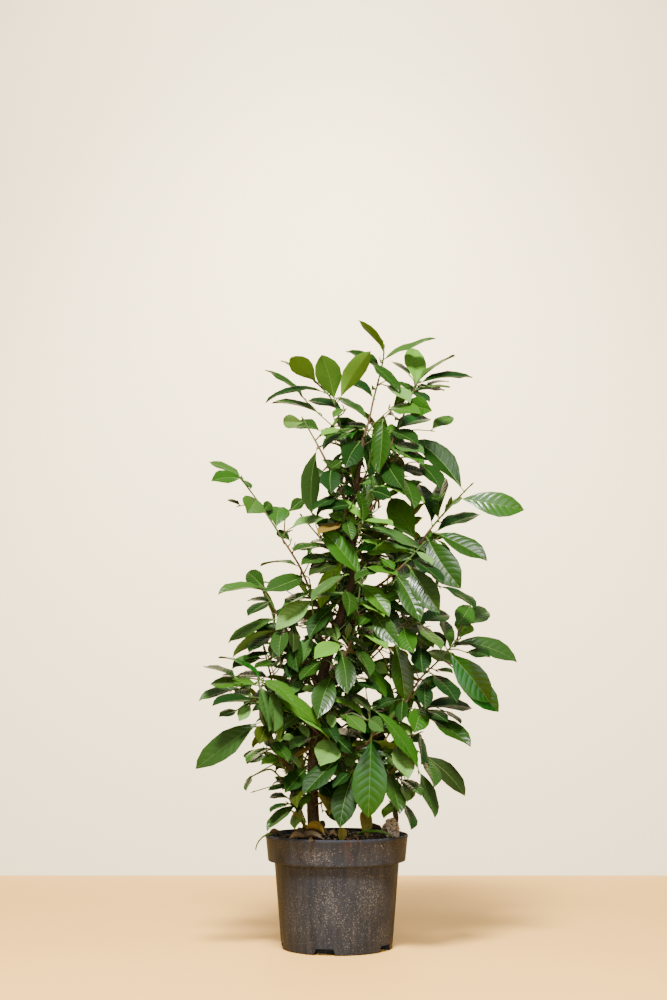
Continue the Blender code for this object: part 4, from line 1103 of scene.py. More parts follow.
def grow_shown_leaves(crown, wood):
    """The leaves that the photo shows, each on its shoot or on a short twig of its own."""
    leaves, twigs = [], []
    for depth, points in SEEN_TWIGS:
        path = [sight(across, height, depth) for across, height in points]
        start = nearest(wood, path[0])[1]
        apart = (start - path[0]).length > TWIG_JOIN
        twigs.append(smooth_path([start] + path if apart else path, SPANS))
    for name, depth, tones, marks in SEEN_LEAVES:
        for mark, tone in zip(marks, tones):
            leaf = grow_leaf(
                crown, name, SEEN_SHIFTS, lambda shift: shown_leaf(mark, depth, SHOOTS[name][2], shift)
            )
            if not leaf:
                leaf = shown_leaf(mark, depth, SHOOTS[name][2], (0, 0))
                keep_leaf(crown, name, leaf)
            leaves.append((*leaf, tone))
    for leaf in sorted(leaves, key=lambda leaf: nearest(wood + twigs, leaf[0])[0]):
        root, chord = leaf[:2]
        far, point, way = nearest(wood + twigs, root)
        if far > STALK_REACH:
            start = nearest(wood + twigs, point - TWIG_BACK * far * way)[1]
            run_in = root - min(TWIG_RUN_IN[0] * far, TWIG_RUN_IN[1]) * chord
            middle = start.lerp(run_in, TWIG_BEND) + TWIG_RISE * far * UP
            twigs.append(smooth_path([start, middle, root], SPANS))
    return leaves, twigs


def hidden_places(points):
    """Places all over a coarse leaf."""
    corners = np.array([tuple(point) for point in points])
    return np.concatenate([corners, (corners[3:] + corners[:-3]) / 2, (corners[1:] + corners[:-1]) / 2])


def in_view(shown, strict):
    """A test that a leaf covers no opening and nothing shown, and keeps to the crown's outline."""
    eye = np.array(CAMERA_PLACE) / MM
    openings = np.array([(*place, radius) for radius, group in OPENINGS.items() for place in group])
    sides = np.array(CROWN_SIDES)

    def test(points):
        places = hidden_places(points)
        seen = eye + (places - eye) * (-eye[1] / (places[:, 1] - eye[1]))[:, None]
        left = np.interp(seen[:, 2], sides[:, 0], sides[:, 1])
        right = np.interp(seen[:, 2], sides[:, 0], sides[:, 2])
        if ((seen[:, 0] < left) | (seen[:, 0] > right)).any():
            return False
        apart = seen[:, 0::2][:, None] - openings[:, :2]
        if (np.hypot(*apart.T).T < openings[:, 2] * (1.0 if strict else LOOSE_SHARE)).any():
            return False
        for place in places if strict else ():
            away = Vector(place) - Vector(eye)
            if shown.ray_cast(Vector(place), away.normalized())[0]:
                return False
        return True

    return test


def grow_inner_leaves(crown, stems, allowed):
    """The leaves of the shoots inside the crown and on its far side, by the source's rule."""
    chance = random.Random(SEED)
    leaves = []
    for name, (path, _) in stems.items():
        if name in INNER_LEAVES:
            tones, marks = INNER_LEAVES[name]
        elif name in BACK_SHOOTS:
            tones = BACK_SHOOTS[name][3]
        else:
            continue
        for index, tone in enumerate(tones):
            share = FIRST_LEAF + (LAST_LEAF - FIRST_LEAF) * index / (len(tones) - 1)
            root, stem_heading = along(path, share)
            luck = [chance.uniform(-1, 1) for _ in range(5)]
            droop = drawn_from(DROOP, luck[4])

            def choose(shift):
                if name in BACK_SHOOTS:
                    way = far_leaf(stem_heading, index, BACK_SHOOTS[name][2], shift, luck)
                else:
                    way = inner_leaf(root, *marks[index], SHOOTS[name][2], shift)
                return root, *way, droop

            leaf = grow_leaf(crown, name, SHIFTS, choose, allowed[name in INNER_LEAVES])
            if leaf:
                leaves.append((*leaf, tone))
    return leaves


def crown_reach():
    """For each slice of height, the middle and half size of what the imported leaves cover."""
    corners = np.concatenate([
        np.array([tuple(vert.co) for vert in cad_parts[name].data.vertices]) / MM
        for name in FOLIAGE_NODES
    ])
    reach = {}
    for level in np.unique(corners[:, 2] // REACH_SLICE):
        part = corners[corners[:, 2] // REACH_SLICE == level]
        low, high = part[:, :2].min(0), part[:, :2].max(0)
        reach[int(level)] = (low + high) / 2, (high - low) / 2
    return reach


def within_reach(reach, seen):
    """A test that a leaf's corners lie well inside the crown, besides the test on how it is seen."""
    def test(points):
        for point in points:
            middle, half = reach.get(int(point.z // REACH_SLICE), (np.zeros(2), np.ones(2)))
            share = (np.array(point[:2]) - middle) / (half * REACH_SHARE)
            if share @ share > 1:
                return False
        return seen(points)

    return test


def grow_fine_twigs(crown, hosts, allowed):
    """Short twigs along the trunk, boughs and stems, each with leaves that fill free room."""
    chance = random.Random(SEED + 2)
    twigs, leaves = [], []
    for path, first, last, spacing, scale in hosts:
        length = sum((b - a).length for a, b in zip(path, path[1:]))
        count = int(length * (last - first) / spacing)
        for index in range(count):
            root, heading = along(path, first + (last - first) * (index + 0.5) / count)
            turn = TWO_FIFTHS * index + chance.uniform(-TWIG_TURN, TWIG_TURN)
            outward = Matrix.Rotation(math.radians(turn), 3, heading) @ heading.orthogonal().normalized()
            spread = math.radians(chance.uniform(*TWIG_SPREAD))
            way = math.cos(spread) * heading + math.sin(spread) * outward
            reach = scale * chance.uniform(*TWIG_LENGTHS)
            end = root + reach * (way + TWIG_LIFT * UP).normalized()
            twig = smooth_path([root, root + 0.5 * reach * way, end], SPANS)
            owner = f"twig_{len(twigs)}"
            grown, bearing_share = [], 0
            for place in range(TWIG_LEAVES):
                share = TWIG_LEAF_PLACES[0] + TWIG_LEAF_PLACES[1] * place / (TWIG_LEAVES - 1)
                foot, twig_heading = along(twig, share)
                luck = [chance.uniform(-1, 1) for _ in range(5)]
                size = scale * drawn_from(TWIG_LEAF_LENGTHS, luck[2])
                droop = drawn_from(DROOP, luck[4])

                def choose(shift):
                    chosen = far_leaf(twig_heading, place + index, size, shift, luck)
                    centre = Vector((trunk_point(foot.z).x, trunk_point(foot.z).y, foot.z))
                    away = (foot - centre).normalized() + FRONT_TURN * VIEWER * (foot.y < FRONT_DEPTH)
                    face = UP + away
                    face = (face - face.dot(chosen[0]) * chosen[0]).normalized()
                    return foot, chosen[0], face, chosen[2], chosen[3], droop

                leaf = grow_leaf(crown, owner, SHIFTS, choose, allowed)
                if leaf:
                    grown.append((*leaf, chance.choice(TWIG_TONES)))
                    bearing_share = share
            if grown:
                twigs.append([along(twig, bearing_share * step / 4)[0] for step in range(5)])
                leaves += grown
    return twigs, leaves


@functools.cache
def plant():
    """Everything that grows: the shoots' stems and leaves, and the fine twigs and leaves between."""
    crown = Crown()
    crown.add("pot", pot_guard(), "limb")
    for name in (*LITTER_NODES, "trunk", *BOUGHS):
        crown.add(name, node_solid(name), "limb")
    stems = shoot_stems()
    for name, (_, solid) in stems.items():
        crown.add(name, solid, "limb")
    trunk, boughs = trunk_path(SPANS), [bough_path(name, SPANS) for name in BOUGHS]
    wood = [trunk] + boughs + [path for path, _ in stems.values()]
    leaves, small_twigs = grow_shown_leaves(crown, wood)
    shown = [blade(*leaf[:6]) for leaf in leaves] + [node_solid("trunk")]
    corners, faces = [], []
    for points, own_faces in shown:
        faces += [tuple(corner + len(corners) for corner in face) for face in own_faces]
        corners += points
    shown = tree_of((corners, faces))
    loose, strict = in_view(shown, False), in_view(shown, True)
    leaves += grow_inner_leaves(crown, stems, (loose, strict))
    paths = {"trunk": [trunk], "boughs": boughs, "stems": [path for path, _ in stems.values()]}
    hosts = [(path, *how) for kind, *how in TWIG_ROUNDS for path in paths[kind]]
    twigs, small_leaves = grow_fine_twigs(crown, hosts, within_reach(crown_reach(), strict))
    return paths["stems"], leaves, small_twigs + twigs, small_leaves


# Fine leaves, each an array of corners over one set of faces that all leaves share.


def bowed(leaf, shares):
    """Middle, side and upper directions at shares of the way along a leaf's bow."""
    root, chord, face, length, _, droop = leaf[:6]
    bend = math.radians(droop)
    across = np.array(face.cross(chord).normalized())
    heading = np.array(math.cos(bend / 2) * chord + math.sin(bend / 2) * face)
    normal = np.array(math.cos(bend / 2) * face - math.sin(bend / 2) * chord)
    turn = bend * shares[:, None]
    middle = np.array(root) + length / bend * (np.sin(turn) * heading - (1 - np.cos(turn)) * normal)
    above = np.cos(turn) * normal + np.sin(turn) * heading
    return middle, across, above


def fine_leaf(leaf, luck, curl, lower_columns):
    """Corners of a leaf: its upper side, the inside of its underside, then its stalk."""
    own = sizes()
    places, widths = np.array(OUTLINE).T
    stalk = own.stalk_share
    middle, across, above = bowed(leaf, stalk + (1 - stalk) * places)
    half = leaf[4] / 2
    twist = (TWIST * luck[0] * places)[:, None]
    side = np.cos(twist) * across + np.sin(twist) * above
    up = np.cos(twist) * above - np.sin(twist) * across
    middle = middle + (SWAY * leaf[3] * luck[1] * np.sin(math.pi * places))[:, None] * across
    fold = math.tan(own.leaf_fold * (1 + FOLD_CHANCE * luck[2]))
    rib = RIB_START * own.stalk_radius / MM * (1 - RIB_TAPER * places)
    rib = np.minimum(rib, RIB_LIMIT * half * widths)[:, None]

    def surface(columns):
        reach = np.abs(columns)[None, :] * widths[:, None]
        phase = WAVE_COUNT * places[:, None] + WAVE_CHANCE * luck[3] + WAVE_SIDE * np.sign(columns)
        lift = fold * reach + SWELL * np.sin(math.pi * reach) - SWELL * reach ** 3
        lift = lift + WAVE_HEIGHT * np.sin(2 * math.pi * phase) * reach ** 2
        roll = curl * reach ** 2
        spread = half * columns[None, :] * widths[:, None] * (1 - DRAW_IN * np.abs(roll))
        spread = np.where(np.abs(columns) == RIB_COLUMN, rib * np.sign(columns), spread)
        rise = half * (lift + roll)
        return middle[:, None] + spread[..., None] * side[:, None] + rise[..., None] * up[:, None]

    upper = surface(np.array(UPPER_COLUMNS))
    inner = np.array(lower_columns[1:-1])
    depth = own.leaf_thickness / MM + RIB_DEPTH * rib * (np.abs(inner) == RIB_COLUMN)
    lower = surface(inner) - depth[..., None] * up[:, None]
    centre, across, above = bowed(leaf, np.array([0.0, STALK_OVERLAP * stalk]))
    radius = own.stalk_radius / MM * np.array(STALK_SWELL)[:, None]
    ring = [centre + radius * (math.cos(a) * across + math.sin(a) * above) for a in STALK_ANGLES]
    rings = np.stack(ring, axis=1)
    return np.concatenate([upper.reshape(-1, 3), lower.reshape(-1, 3), rings.reshape(-1, 3)])


def leaf_faces(lower_columns):
    """The faces of a leaf, their places on its map, and the material of each."""
    rows, over, under = len(OUTLINE), len(UPPER_COLUMNS), len(lower_columns)
    inner = rows * over
    places = [MAP_ENDS[0] + MAP_ENDS[1] * station[0] for station in OUTLINE]

    def top(row, column):
        return row * over + column

    def below(row, column):
        if column in (0, under - 1):
            return top(row, 0 if column == 0 else over - 1)
        return inner + row * (under - 2) + column - 1

    faces, maps, kinds = [], [], []

    def add(corners, spots, kind):
        faces.append(corners)
        maps.append(spots)
        kinds.append(kind)

    for row in range(rows - 1):
        for column in range(over - 1):
            spots = ((row, column), (row + 1, column), (row + 1, column + 1), (row, column + 1))
            add(
                [top(*spot) for spot in spots],
                [(UPPER_MIDDLE + MAP_HALF_WIDTH * UPPER_COLUMNS[c], places[r]) for r, c in spots],
                2 if column == over // 2 - 1 else 0,
            )
        for column in range(under - 1):
            spots = ((row, column), (row, column + 1), (row + 1, column + 1), (row + 1, column))
            add(
                [below(*spot) for spot in spots],
                [(LOWER_MIDDLE + MAP_HALF_WIDTH * lower_columns[c], places[r]) for r, c in spots],
                2 if column == under // 2 - 1 else 1,
            )
    for row in (0, rows - 1):
        around = [top(row, column) for column in range(over)]
        around += [below(row, column) for column in reversed(range(1, under - 1))]
        spots = [(LOWER_MIDDLE + 0.01 * math.cos(i), places[row]) for i in range(len(around))]
        add(around if row == 0 else around[::-1], spots, 1)
    start = rows * (over + under - 2)
    sides = len(STALK_ANGLES)
    strip = np.linspace(*STALK_STRIP, sides + 1)
    for corner in range(sides):
        first, beside = start + corner, start + (corner + 1) % sides
        left, right = strip[corner], strip[corner + 1]
        spots = [(left, 0.0), (right, 0.0), (right, 1.0), (left, 1.0)]
        add([first, beside, beside + sides, first + sides], spots, 2)
    end = [(strip[0], 0.0), (strip[1], 0.0), (strip[1], 0.01), (strip[0], 0.01)]
    add([start + corner for corner in reversed(range(sides))], end, 2)
    add([start + sides + corner for corner in range(sides)], end, 2)
    return faces, maps, kinds


def mesh_piece(name, corners, faces, materials, kinds=None, spots=None, sharp=math.radians(50)):
    """An object from corners in millimetres, with a material for each face and its own map if any."""
    mesh = bpy.data.meshes.new(name)
    mesh.from_pydata((np.asarray(corners) * MM).tolist(), [], faces)
    for made in materials:
        mesh.materials.append(made)
    if kinds is not None:
        mesh.polygons.foreach_set("material_index", kinds)
    if spots is not None:
        layer = mesh.uv_layers.new(name=LEAF_MAP)
        layer.uv.foreach_set("vector", np.asarray(spots, dtype=np.float32).ravel())
    mesh.polygons.foreach_set("use_smooth", [True] * len(mesh.polygons))
    mesh.set_sharp_from_angle(angle=sharp)
    made = bpy.data.objects.new(name, mesh)
    bpy.context.scene.collection.objects.link(made)
    return made


def joined_leaves(name, leaves, materials, chance, curl=0.0):
    """Many leaves joined as one piece."""
    lower_columns = UPPER_COLUMNS if curl > CURLED else LOWER_COLUMNS
    faces, maps, kinds = leaf_faces(lower_columns)
    corners = [
        fine_leaf(leaf, [chance.uniform(-1, 1) for _ in range(4)], curl, lower_columns)
        for leaf in leaves
    ]
    bases = range(0, len(leaves) * len(corners[0]), len(corners[0]))
    all_faces = [[corner + base for corner in face] for base in bases for face in faces]
    spots = [spot for around in maps for spot in around]
    return mesh_piece(
        name, np.concatenate(corners), all_faces, materials, kinds * len(leaves), spots * len(leaves)
    )


def vein_height(tree, first, last, at_vein):
    """Height on a leaf's own map: at a side vein and, by the last of these distances, between two."""
    place = add_node(tree, "UVMap", uv_map=LEAF_MAP)
    right, up, _ = add_node(tree, "SeparateXYZ", {0: place}).node.outputs
    side = add_node(tree, "Math", {0: right, 1: 0.5}, operation="MODULO")
    offset = add_node(tree, "Math", {0: side, 1: UPPER_MIDDLE}, operation="SUBTRACT")
    apart = add_node(tree, "Math", {0: offset}, operation="ABSOLUTE")
    across = add_node(tree, "Math", {0: apart, 1: MAP_HALF_WIDTH}, operation="DIVIDE")
    curve = add_node(tree, "Math", {0: across, 1: VEIN_CURVE}, operation="POWER")
    slant = add_node(tree, "Math", {0: curve, 1: -VEIN_LEAN, 2: up}, operation="MULTIPLY_ADD")
    pairs = add_node(tree, "Math", {0: slant, 1: sizes().vein_pairs}, operation="MULTIPLY")
    wave = add_node(tree, "Math", {0: pairs, 1: 0.5}, operation="PINGPONG")
    swell = {0: wave, 1: first, 2: last, 3: at_vein, 4: 1.0 - at_vein}
    swell = add_node(tree, "MapRange", swell, interpolation_type="SMOOTHSTEP")
    edge = add_node(tree, "MapRange", {0: across, 1: VEIN_FADE[0], 2: VEIN_FADE[1], 3: 1.0, 4: 0.0})
    return add_node(tree, "Math", {0: swell, 1: edge}, operation="MULTIPLY")


@functools.cache
def leaf_materials(letter):
    """The waxy upper side and the dull underside of one tone of leaf."""
    tone, roughness, specular = TONES[letter]
    base = colour(tone)
    # Living leaf with a thick wax skin: it mirrors the sky in streaks between the side veins.
    skin, tree, shader = new_material(f"laurel_leaf_waxy_upper_side_{tone}", base, roughness, specular)
    height = vein_height(tree, 0.0, 0.38, 0.0)
    relief = add_node(tree, "Bump", {"Height": height, "Strength": 0.45, "Distance": 0.0009})
    tree.links.new(relief, shader.inputs["Normal"])
    # Living leaf without the wax: paler and matt, with its net of veins standing out.
    under_base = [c + UNDERSIDE_SHARE * (u - c) for c, u in zip(base, colour("underside"))]
    under, tree, shader = new_material(f"laurel_leaf_dull_underside_{tone}", under_base, 0.6, 0.05)
    height = vein_height(tree, 0.0, 0.10, 1.0)
    relief = add_node(tree, "Bump", {"Height": height, "Strength": 0.4, "Distance": 0.0006})
    tree.links.new(relief, shader.inputs["Normal"])
    return [skin, under]


class LAUREL_OT_leaves(bpy.types.Operator):
    """Grows the leaves and joins them by tone"""

    bl_idname = "laurel.leaves"
    bl_label = "Leaves"

    def execute(self, context):
        _, shoot_leaves, _, small_leaves = plant()
        chance = random.Random(SEED + 3)
        # Living leaf stalk: yellow-green and slightly glossy.
        stalk = new_material("laurel_leaf_stalk_and_midrib", colour("rib"), 0.45, 0.1)[0]
        for letter, (tone, _, _) in TONES.items():
            leaves = [leaf for leaf in shoot_leaves + small_leaves if leaf[6] == letter]
            for part, start in enumerate(range(0, len(leaves), LEAVES_TO_A_PIECE)):
                chosen = leaves[start:start + LEAVES_TO_A_PIECE]
                materials = leaf_materials(letter) + [stalk]
                made = joined_leaves(f"{tone}_leaves_{part}", chosen, materials, chance)
                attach(made, "root")
                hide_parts(*FOLIAGE_NODES)
        return {"FINISHED"}


def twig_rings(path, radii, sides):
    """A smooth stem with a bud at its tip: its corners and faces, and how far up each face is."""
    end, way = path[-1], (path[-1] - path[-2]).normalized()
    places = list(path) + [end + length * way for length, _ in BUD]
    widths = list(radii) + [radii[-1] * share for _, share in BUD]
    points, faces = limb(places, widths, sides)
    rings = len(places)
    heights = [0.0] + [ring / rings for ring in range(rings - 1) for _ in range(sides)] + [1.0]
    return points, faces, heights


class LAUREL_OT_twigs(bpy.types.Operator):
    """Grows the stems of the shoots and the fine twigs"""

    bl_idname = "laurel.twigs"
    bl_label = "Stems and twigs"

    def execute(self, context):
        stems, _, twigs, _ = plant()
        # Living shoot: green smooth skin, reddish where it is a year old.
        materials = [
            new_material("laurel_shoot_last_year", colour("red_shoot"), 0.5, 0.15)[0],
            new_material("laurel_shoot_this_year", colour("shoot"), 0.5, 0.15)[0],
        ]
        corners, faces, kinds = [], [], []
        for index, path in enumerate(stems + twigs):
            first, last = STEM_RADII if index < len(stems) else TWIG_RADII
            fine = smooth_path([tuple(p) for p in path], TWIG_SPANS)
            chance = random.Random(index)
            radii = [r * (1 + chance.uniform(0, TWIG_KNOTS)) for r in tapered(len(fine), first, last)]
            points, own_faces, heights = twig_rings(fine, radii, TWIG_SIDES)
            base = len(corners)
            corners += [tuple(p) for p in points]
            faces += [[corner + base for corner in face] for face in own_faces]
            red_share = RED_SHARES[index >= len(stems)]
            kinds += [int(height > red_share) for height in heights]
        made = mesh_piece("stems_and_twigs", corners, faces, materials, kinds)
        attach(made, "root")
        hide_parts(*FOLIAGE_NODES)
        return {"FINISHED"}


def deselect():
    if bpy.context.object and bpy.context.object.mode != "OBJECT":
        bpy.ops.object.mode_set(mode="OBJECT")
    bpy.ops.object.select_all(action="DESELECT")


def only(obj):
    deselect()
    obj.select_set(True)
    bpy.context.view_layer.objects.active = obj


def edit_all():
    """Opens the active mesh for editing with all of it selected."""
    bpy.ops.object.mode_set(mode="EDIT")
    bpy.ops.mesh.select_all(action="SELECT")


def settle(obj):
    """Works the object's place into its mesh, so that it sits at the origin."""
    only(obj)
    bpy.ops.object.transform_apply(location=True, rotation=True, scale=True)


def apply_all(obj):
    only(obj)
    for modifier in list(obj.modifiers):
        bpy.ops.object.modifier_apply(modifier=modifier.name)


def displace(obj, size, strength, group=""):
    """Moves the surface in and out by a cloudy pattern of that size, in millimetres."""
    texture = bpy.data.textures.new(f"{obj.name}_clouds_{size}", "CLOUDS")
    texture.noise_scale = size * MM
    modifier = obj.modifiers.new("relief", "DISPLACE")
    modifier.texture = texture
    modifier.strength = strength * MM
    modifier.mid_level = 0.5
    modifier.vertex_group = group
    apply_all(obj)


def finished(obj, nodes, materials, angle=40):
    """Works a modelled piece's place into its mesh, gives it its materials and shading, hangs it on the
    root body and hides the nodes it stands for.
    """
    settle(obj)
    obj.data.materials.clear()
    for made in materials:
        obj.data.materials.append(made)
    bpy.ops.object.shade_smooth_by_angle(angle=math.radians(angle))
    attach(obj, "root")
    if nodes:
        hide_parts(*nodes)
    return obj


def turned_body(name, profile, sides):
    """A body raised from a filled circle, extruded and resized along its outline, up and back down."""
    deselect()
    radius, height = profile[0]
    bpy.ops.mesh.primitive_circle_add(
        vertices=sides, radius=radius * MM, fill_type="NGON", location=(0, 0, height * MM)
    )
    made = bpy.context.object
    made.name = name
    edit_all()
    for (before, low), (after, high) in zip(profile, profile[1:]):
        bpy.ops.mesh.extrude_region_move(TRANSFORM_OT_translate={"value": (0, 0, (high - low) * MM)})
        share = after / before
        bpy.ops.transform.resize(value=(share, share, 1), center_override=(0, 0, high * MM))
    bpy.ops.mesh.select_all(action="SELECT")
    bpy.ops.mesh.normals_make_consistent(inside=False)
    bpy.ops.object.mode_set(mode="OBJECT")
    settle(made)
    return made


def pot_profile():
    """The pot's outline from its foot up the outside, over the rolled rim and down the inside."""
    outside = [
        (BASE_RADIUS - 2.6, 0), (BASE_RADIUS - 1.4, 0.2), (BASE_RADIUS - 0.5, 0.9),
        (BASE_RADIUS, 2.4), (BODY_TOP_RADIUS, COLLAR_FOOT - 1.2), (BODY_TOP_RADIUS + 1.4, COLLAR_FOOT),
        (COLLAR_FOOT_RADIUS - 2.2, COLLAR_FOOT), (COLLAR_FOOT_RADIUS - 0.7, COLLAR_FOOT + 0.5),
        (COLLAR_FOOT_RADIUS, COLLAR_FOOT + 1.9), (COLLAR_FOOT_RADIUS + 0.1, COLLAR_FOOT + 3.4),
        (RIM_RADIUS - 0.5, POT_HEIGHT - 6.0), (RIM_RADIUS + 0.3, POT_HEIGHT - 4.6),
        (RIM_RADIUS + 0.5, POT_HEIGHT - 3.0), (RIM_RADIUS + 0.4, POT_HEIGHT - 1.4),
        (RIM_RADIUS - 0.2, POT_HEIGHT - 0.4), (RIM_RADIUS - 1.1, POT_HEIGHT),
    ]
    inside = [
        (RIM_RADIUS - 2.0, POT_HEIGHT - 0.5), (RIM_RADIUS - 2.4, POT_HEIGHT - 1.8),
        (COLLAR_FOOT_RADIUS - WALL, COLLAR_FOOT + WALL + 1.5),
        (BODY_TOP_RADIUS - WALL, COLLAR_FOOT + WALL), (BASE_RADIUS - WALL, CHANNEL_FLOOR),
        (CHANNEL_RADIUS + 2, CHANNEL_FLOOR), (CHANNEL_RADIUS, FLOOR), (CHANNEL_RADIUS - 30, FLOOR),
    ]
    return outside + inside


def clouded(tree, scale, detail, limits, dark, light):
    """The object's own places, clouds on them, and a colour that goes from dark to light with those."""
    place = add_node(tree, "TexCoord").node.outputs["Object"]
    cloud = add_node(tree, "TexNoise", {"Vector": place, "Scale": scale, "Detail": detail})
    shade = add_node(tree, "MapRange", {0: cloud, 1: limits[0], 2: limits[1]})
    return place, cloud, add_node(tree, "Mix", {0: shade, 6: dark, 7: light}, data_type="RGBA")


def patches(tree, parts, marks):
    """Soft oval patches on the front of the pot, each 1 times its strength in its middle."""
    front = add_node(tree, "MapRange", {0: parts[1], 1: -0.04, 2: -0.02, 3: 1.0, 4: 0.0})
    total = 0.0
    for (across, height), (wide, high), strength in marks:
        east = add_node(tree, "Math", {0: parts[0], 1: across * MM}, operation="SUBTRACT")
        north = add_node(tree, "Math", {0: parts[2], 1: height * MM}, operation="SUBTRACT")
        east = add_node(tree, "Math", {0: east, 1: wide * MM}, operation="DIVIDE")
        north = add_node(tree, "Math", {0: north, 1: high * MM}, operation="DIVIDE")
        flat = add_node(tree, "CombineXYZ", {0: east, 1: north})
        far = add_node(tree, "VectorMath", {0: flat}, operation="LENGTH")
        soft = {0: far, 1: 0.1, 2: 1.0, 3: strength, 4: 0.0}
        patch = add_node(tree, "MapRange", soft, interpolation_type="SMOOTHSTEP")
        total = add_node(tree, "Math", {0: patch, 1: total}, operation="MAXIMUM")
    return add_node(tree, "Math", {0: total, 1: front}, operation="MULTIPLY")


def pot_material():
    # Recycled polypropylene, moulded: dull and grainy, with dried splashes of compost water.
    made, tree, shader = new_material("moulded_recycled_polypropylene", colour("pot"), 0.62, 0.14)
    dark, light = darker(colour("pot"), 0.86), darker(colour("pot"), 1.18)
    place, _, base = clouded(tree, 22.0, 4.0, (0.36, 0.68), dark, light)
    parts = add_node(tree, "SeparateXYZ", {0: place}).node.outputs
    splashed = patches(tree, parts, POT_DUST)
    patchy = add_node(tree, "TexNoise", {"Vector": place, "Scale": 60.0, "Detail": 3.0})
    # Specks of about a millimetre and a half, as wide as they must be to show.
    fine = add_node(tree, "TexNoise", {"Vector": place, "Scale": 480.0, "Detail": 2.0, "Roughness": 0.7})
    least = add_node(tree, "Math", {0: splashed, 1: -0.16, 2: 0.69}, operation="MULTIPLY_ADD")
    ragged = add_node(tree, "Math", {0: patchy, 1: -0.12, 2: least}, operation="MULTIPLY_ADD")
    over = add_node(tree, "Math", {0: fine, 1: ragged}, operation="SUBTRACT")
    speck = add_node(tree, "MapRange", {0: over, 1: 0.0, 2: 0.05, 4: 0.62})
    base = add_node(tree, "Mix", {0: speck, 6: base, 7: colour("dust")}, data_type="RGBA")
    leaning = add_node(
        tree, "Mapping", {"Vector": place, "Rotation": (0.0, 0.9, 0.0), "Scale": (1.0, 1.0, 0.15)}
    )
    streak = add_node(tree, "TexNoise", {"Vector": leaning, "Scale": 120.0, "Detail": 3.0})
    wiped = add_node(tree, "MapRange", {0: streak, 1: 0.45, 2: 0.72, 4: 0.10})
    film = add_node(tree, "Math", {0: splashed, 1: 0.1, 2: wiped}, operation="MULTIPLY_ADD")
    base = add_node(tree, "Mix", {0: film, 6: base, 7: colour("dust")}, data_type="RGBA")
    rusty = patches(tree, parts, POT_RUST)
    uneven = add_node(tree, "MapRange", {0: patchy, 1: 0.36, 2: 0.62})
    run = add_node(tree, "Math", {0: rusty, 1: uneven}, operation="MULTIPLY")
    base = add_node(tree, "Mix", {0: run, 6: base, 7: colour("rust")}, data_type="RGBA")
    tree.links.new(base, shader.inputs["Base Color"])
    grain = add_node(tree, "TexNoise", {"Vector": place, "Scale": 900.0, "Detail": 2.0})
    relief = add_node(tree, "Bump", {"Height": grain, "Strength": 0.18, "Distance": 0.0004})
    tree.links.new(relief, shader.inputs["Normal"])
    return made


class LAUREL_OT_pot(bpy.types.Operator):
    """Models the pot with its rolled rim, collar and drain channels"""

    bl_idname = "laurel.pot"
    bl_label = "Pot"

    def execute(self, context):
        pot = turned_body("nursery_pot", pot_profile(), POT_SIDES)
        for index in range(CHANNEL_COUNT):
            deselect()
            turn = math.radians(CHANNEL_PHASE + 360 * index / CHANNEL_COUNT)
            place = (BASE_RADIUS * math.sin(turn) * MM, -BASE_RADIUS * math.cos(turn) * MM, 0)
            bpy.ops.mesh.primitive_cube_add(size=MM, location=place, rotation=(0, 0, turn))
            cutter = bpy.context.object
            edit_all()
            bpy.ops.transform.resize(
                value=(CHANNEL_WIDTHS[1], 2 * CHANNEL_DEPTH, 2 * CHANNEL_HEIGHT), orient_type="LOCAL"
            )
            bpy.ops.object.mode_set(mode="OBJECT")
            for vert in cutter.data.vertices:
                if vert.co.z < 0:
                    vert.co.x *= (2 * CHANNEL_WIDTHS[0] - CHANNEL_WIDTHS[1]) / CHANNEL_WIDTHS[1]
            cut = pot.modifiers.new("channel", "BOOLEAN")
            cut.operation = "DIFFERENCE"
            cut.solver = "EXACT"
            cut.object = cutter
            apply_all(pot)
            bpy.data.objects.remove(cutter, do_unlink=True)
        finished(pot, ["pot"], [pot_material()], 32)
        return {"FINISHED"}


def compost_material():
    # Moist bark compost: dark fibres and broken bark, with no shine.
    made, tree, shader = new_material("moist_bark_compost", colour("compost"), 0.92, 0.2)
    dark, light = darker(colour("compost"), 0.6), darker(colour("compost"), 2.1)
    place, lumps, base = clouded(tree, 160.0, 5.0, (0.42, 0.66), dark, light)
    bits = add_node(tree, "TexVoronoi", {"Vector": place, "Scale": 330.0})
    chip = add_node(tree, "MapRange", {0: bits, 1: 0.12, 2: 0.2, 3: 1.0, 4: 0.0})
    here = add_node(tree, "MapRange", {0: lumps, 1: 0.5, 2: 0.6})
    pale = add_node(tree, "Math", {0: chip, 1: here}, operation="MULTIPLY")
    base = add_node(tree, "Mix", {0: pale, 6: base, 7: colour("wood_chip")}, data_type="RGBA")
    tree.links.new(base, shader.inputs["Base Color"])
    relief = add_node(tree, "Bump", {"Height": lumps, "Strength": 0.8, "Distance": 0.003})
    tree.links.new(relief, shader.inputs["Normal"])
    return made


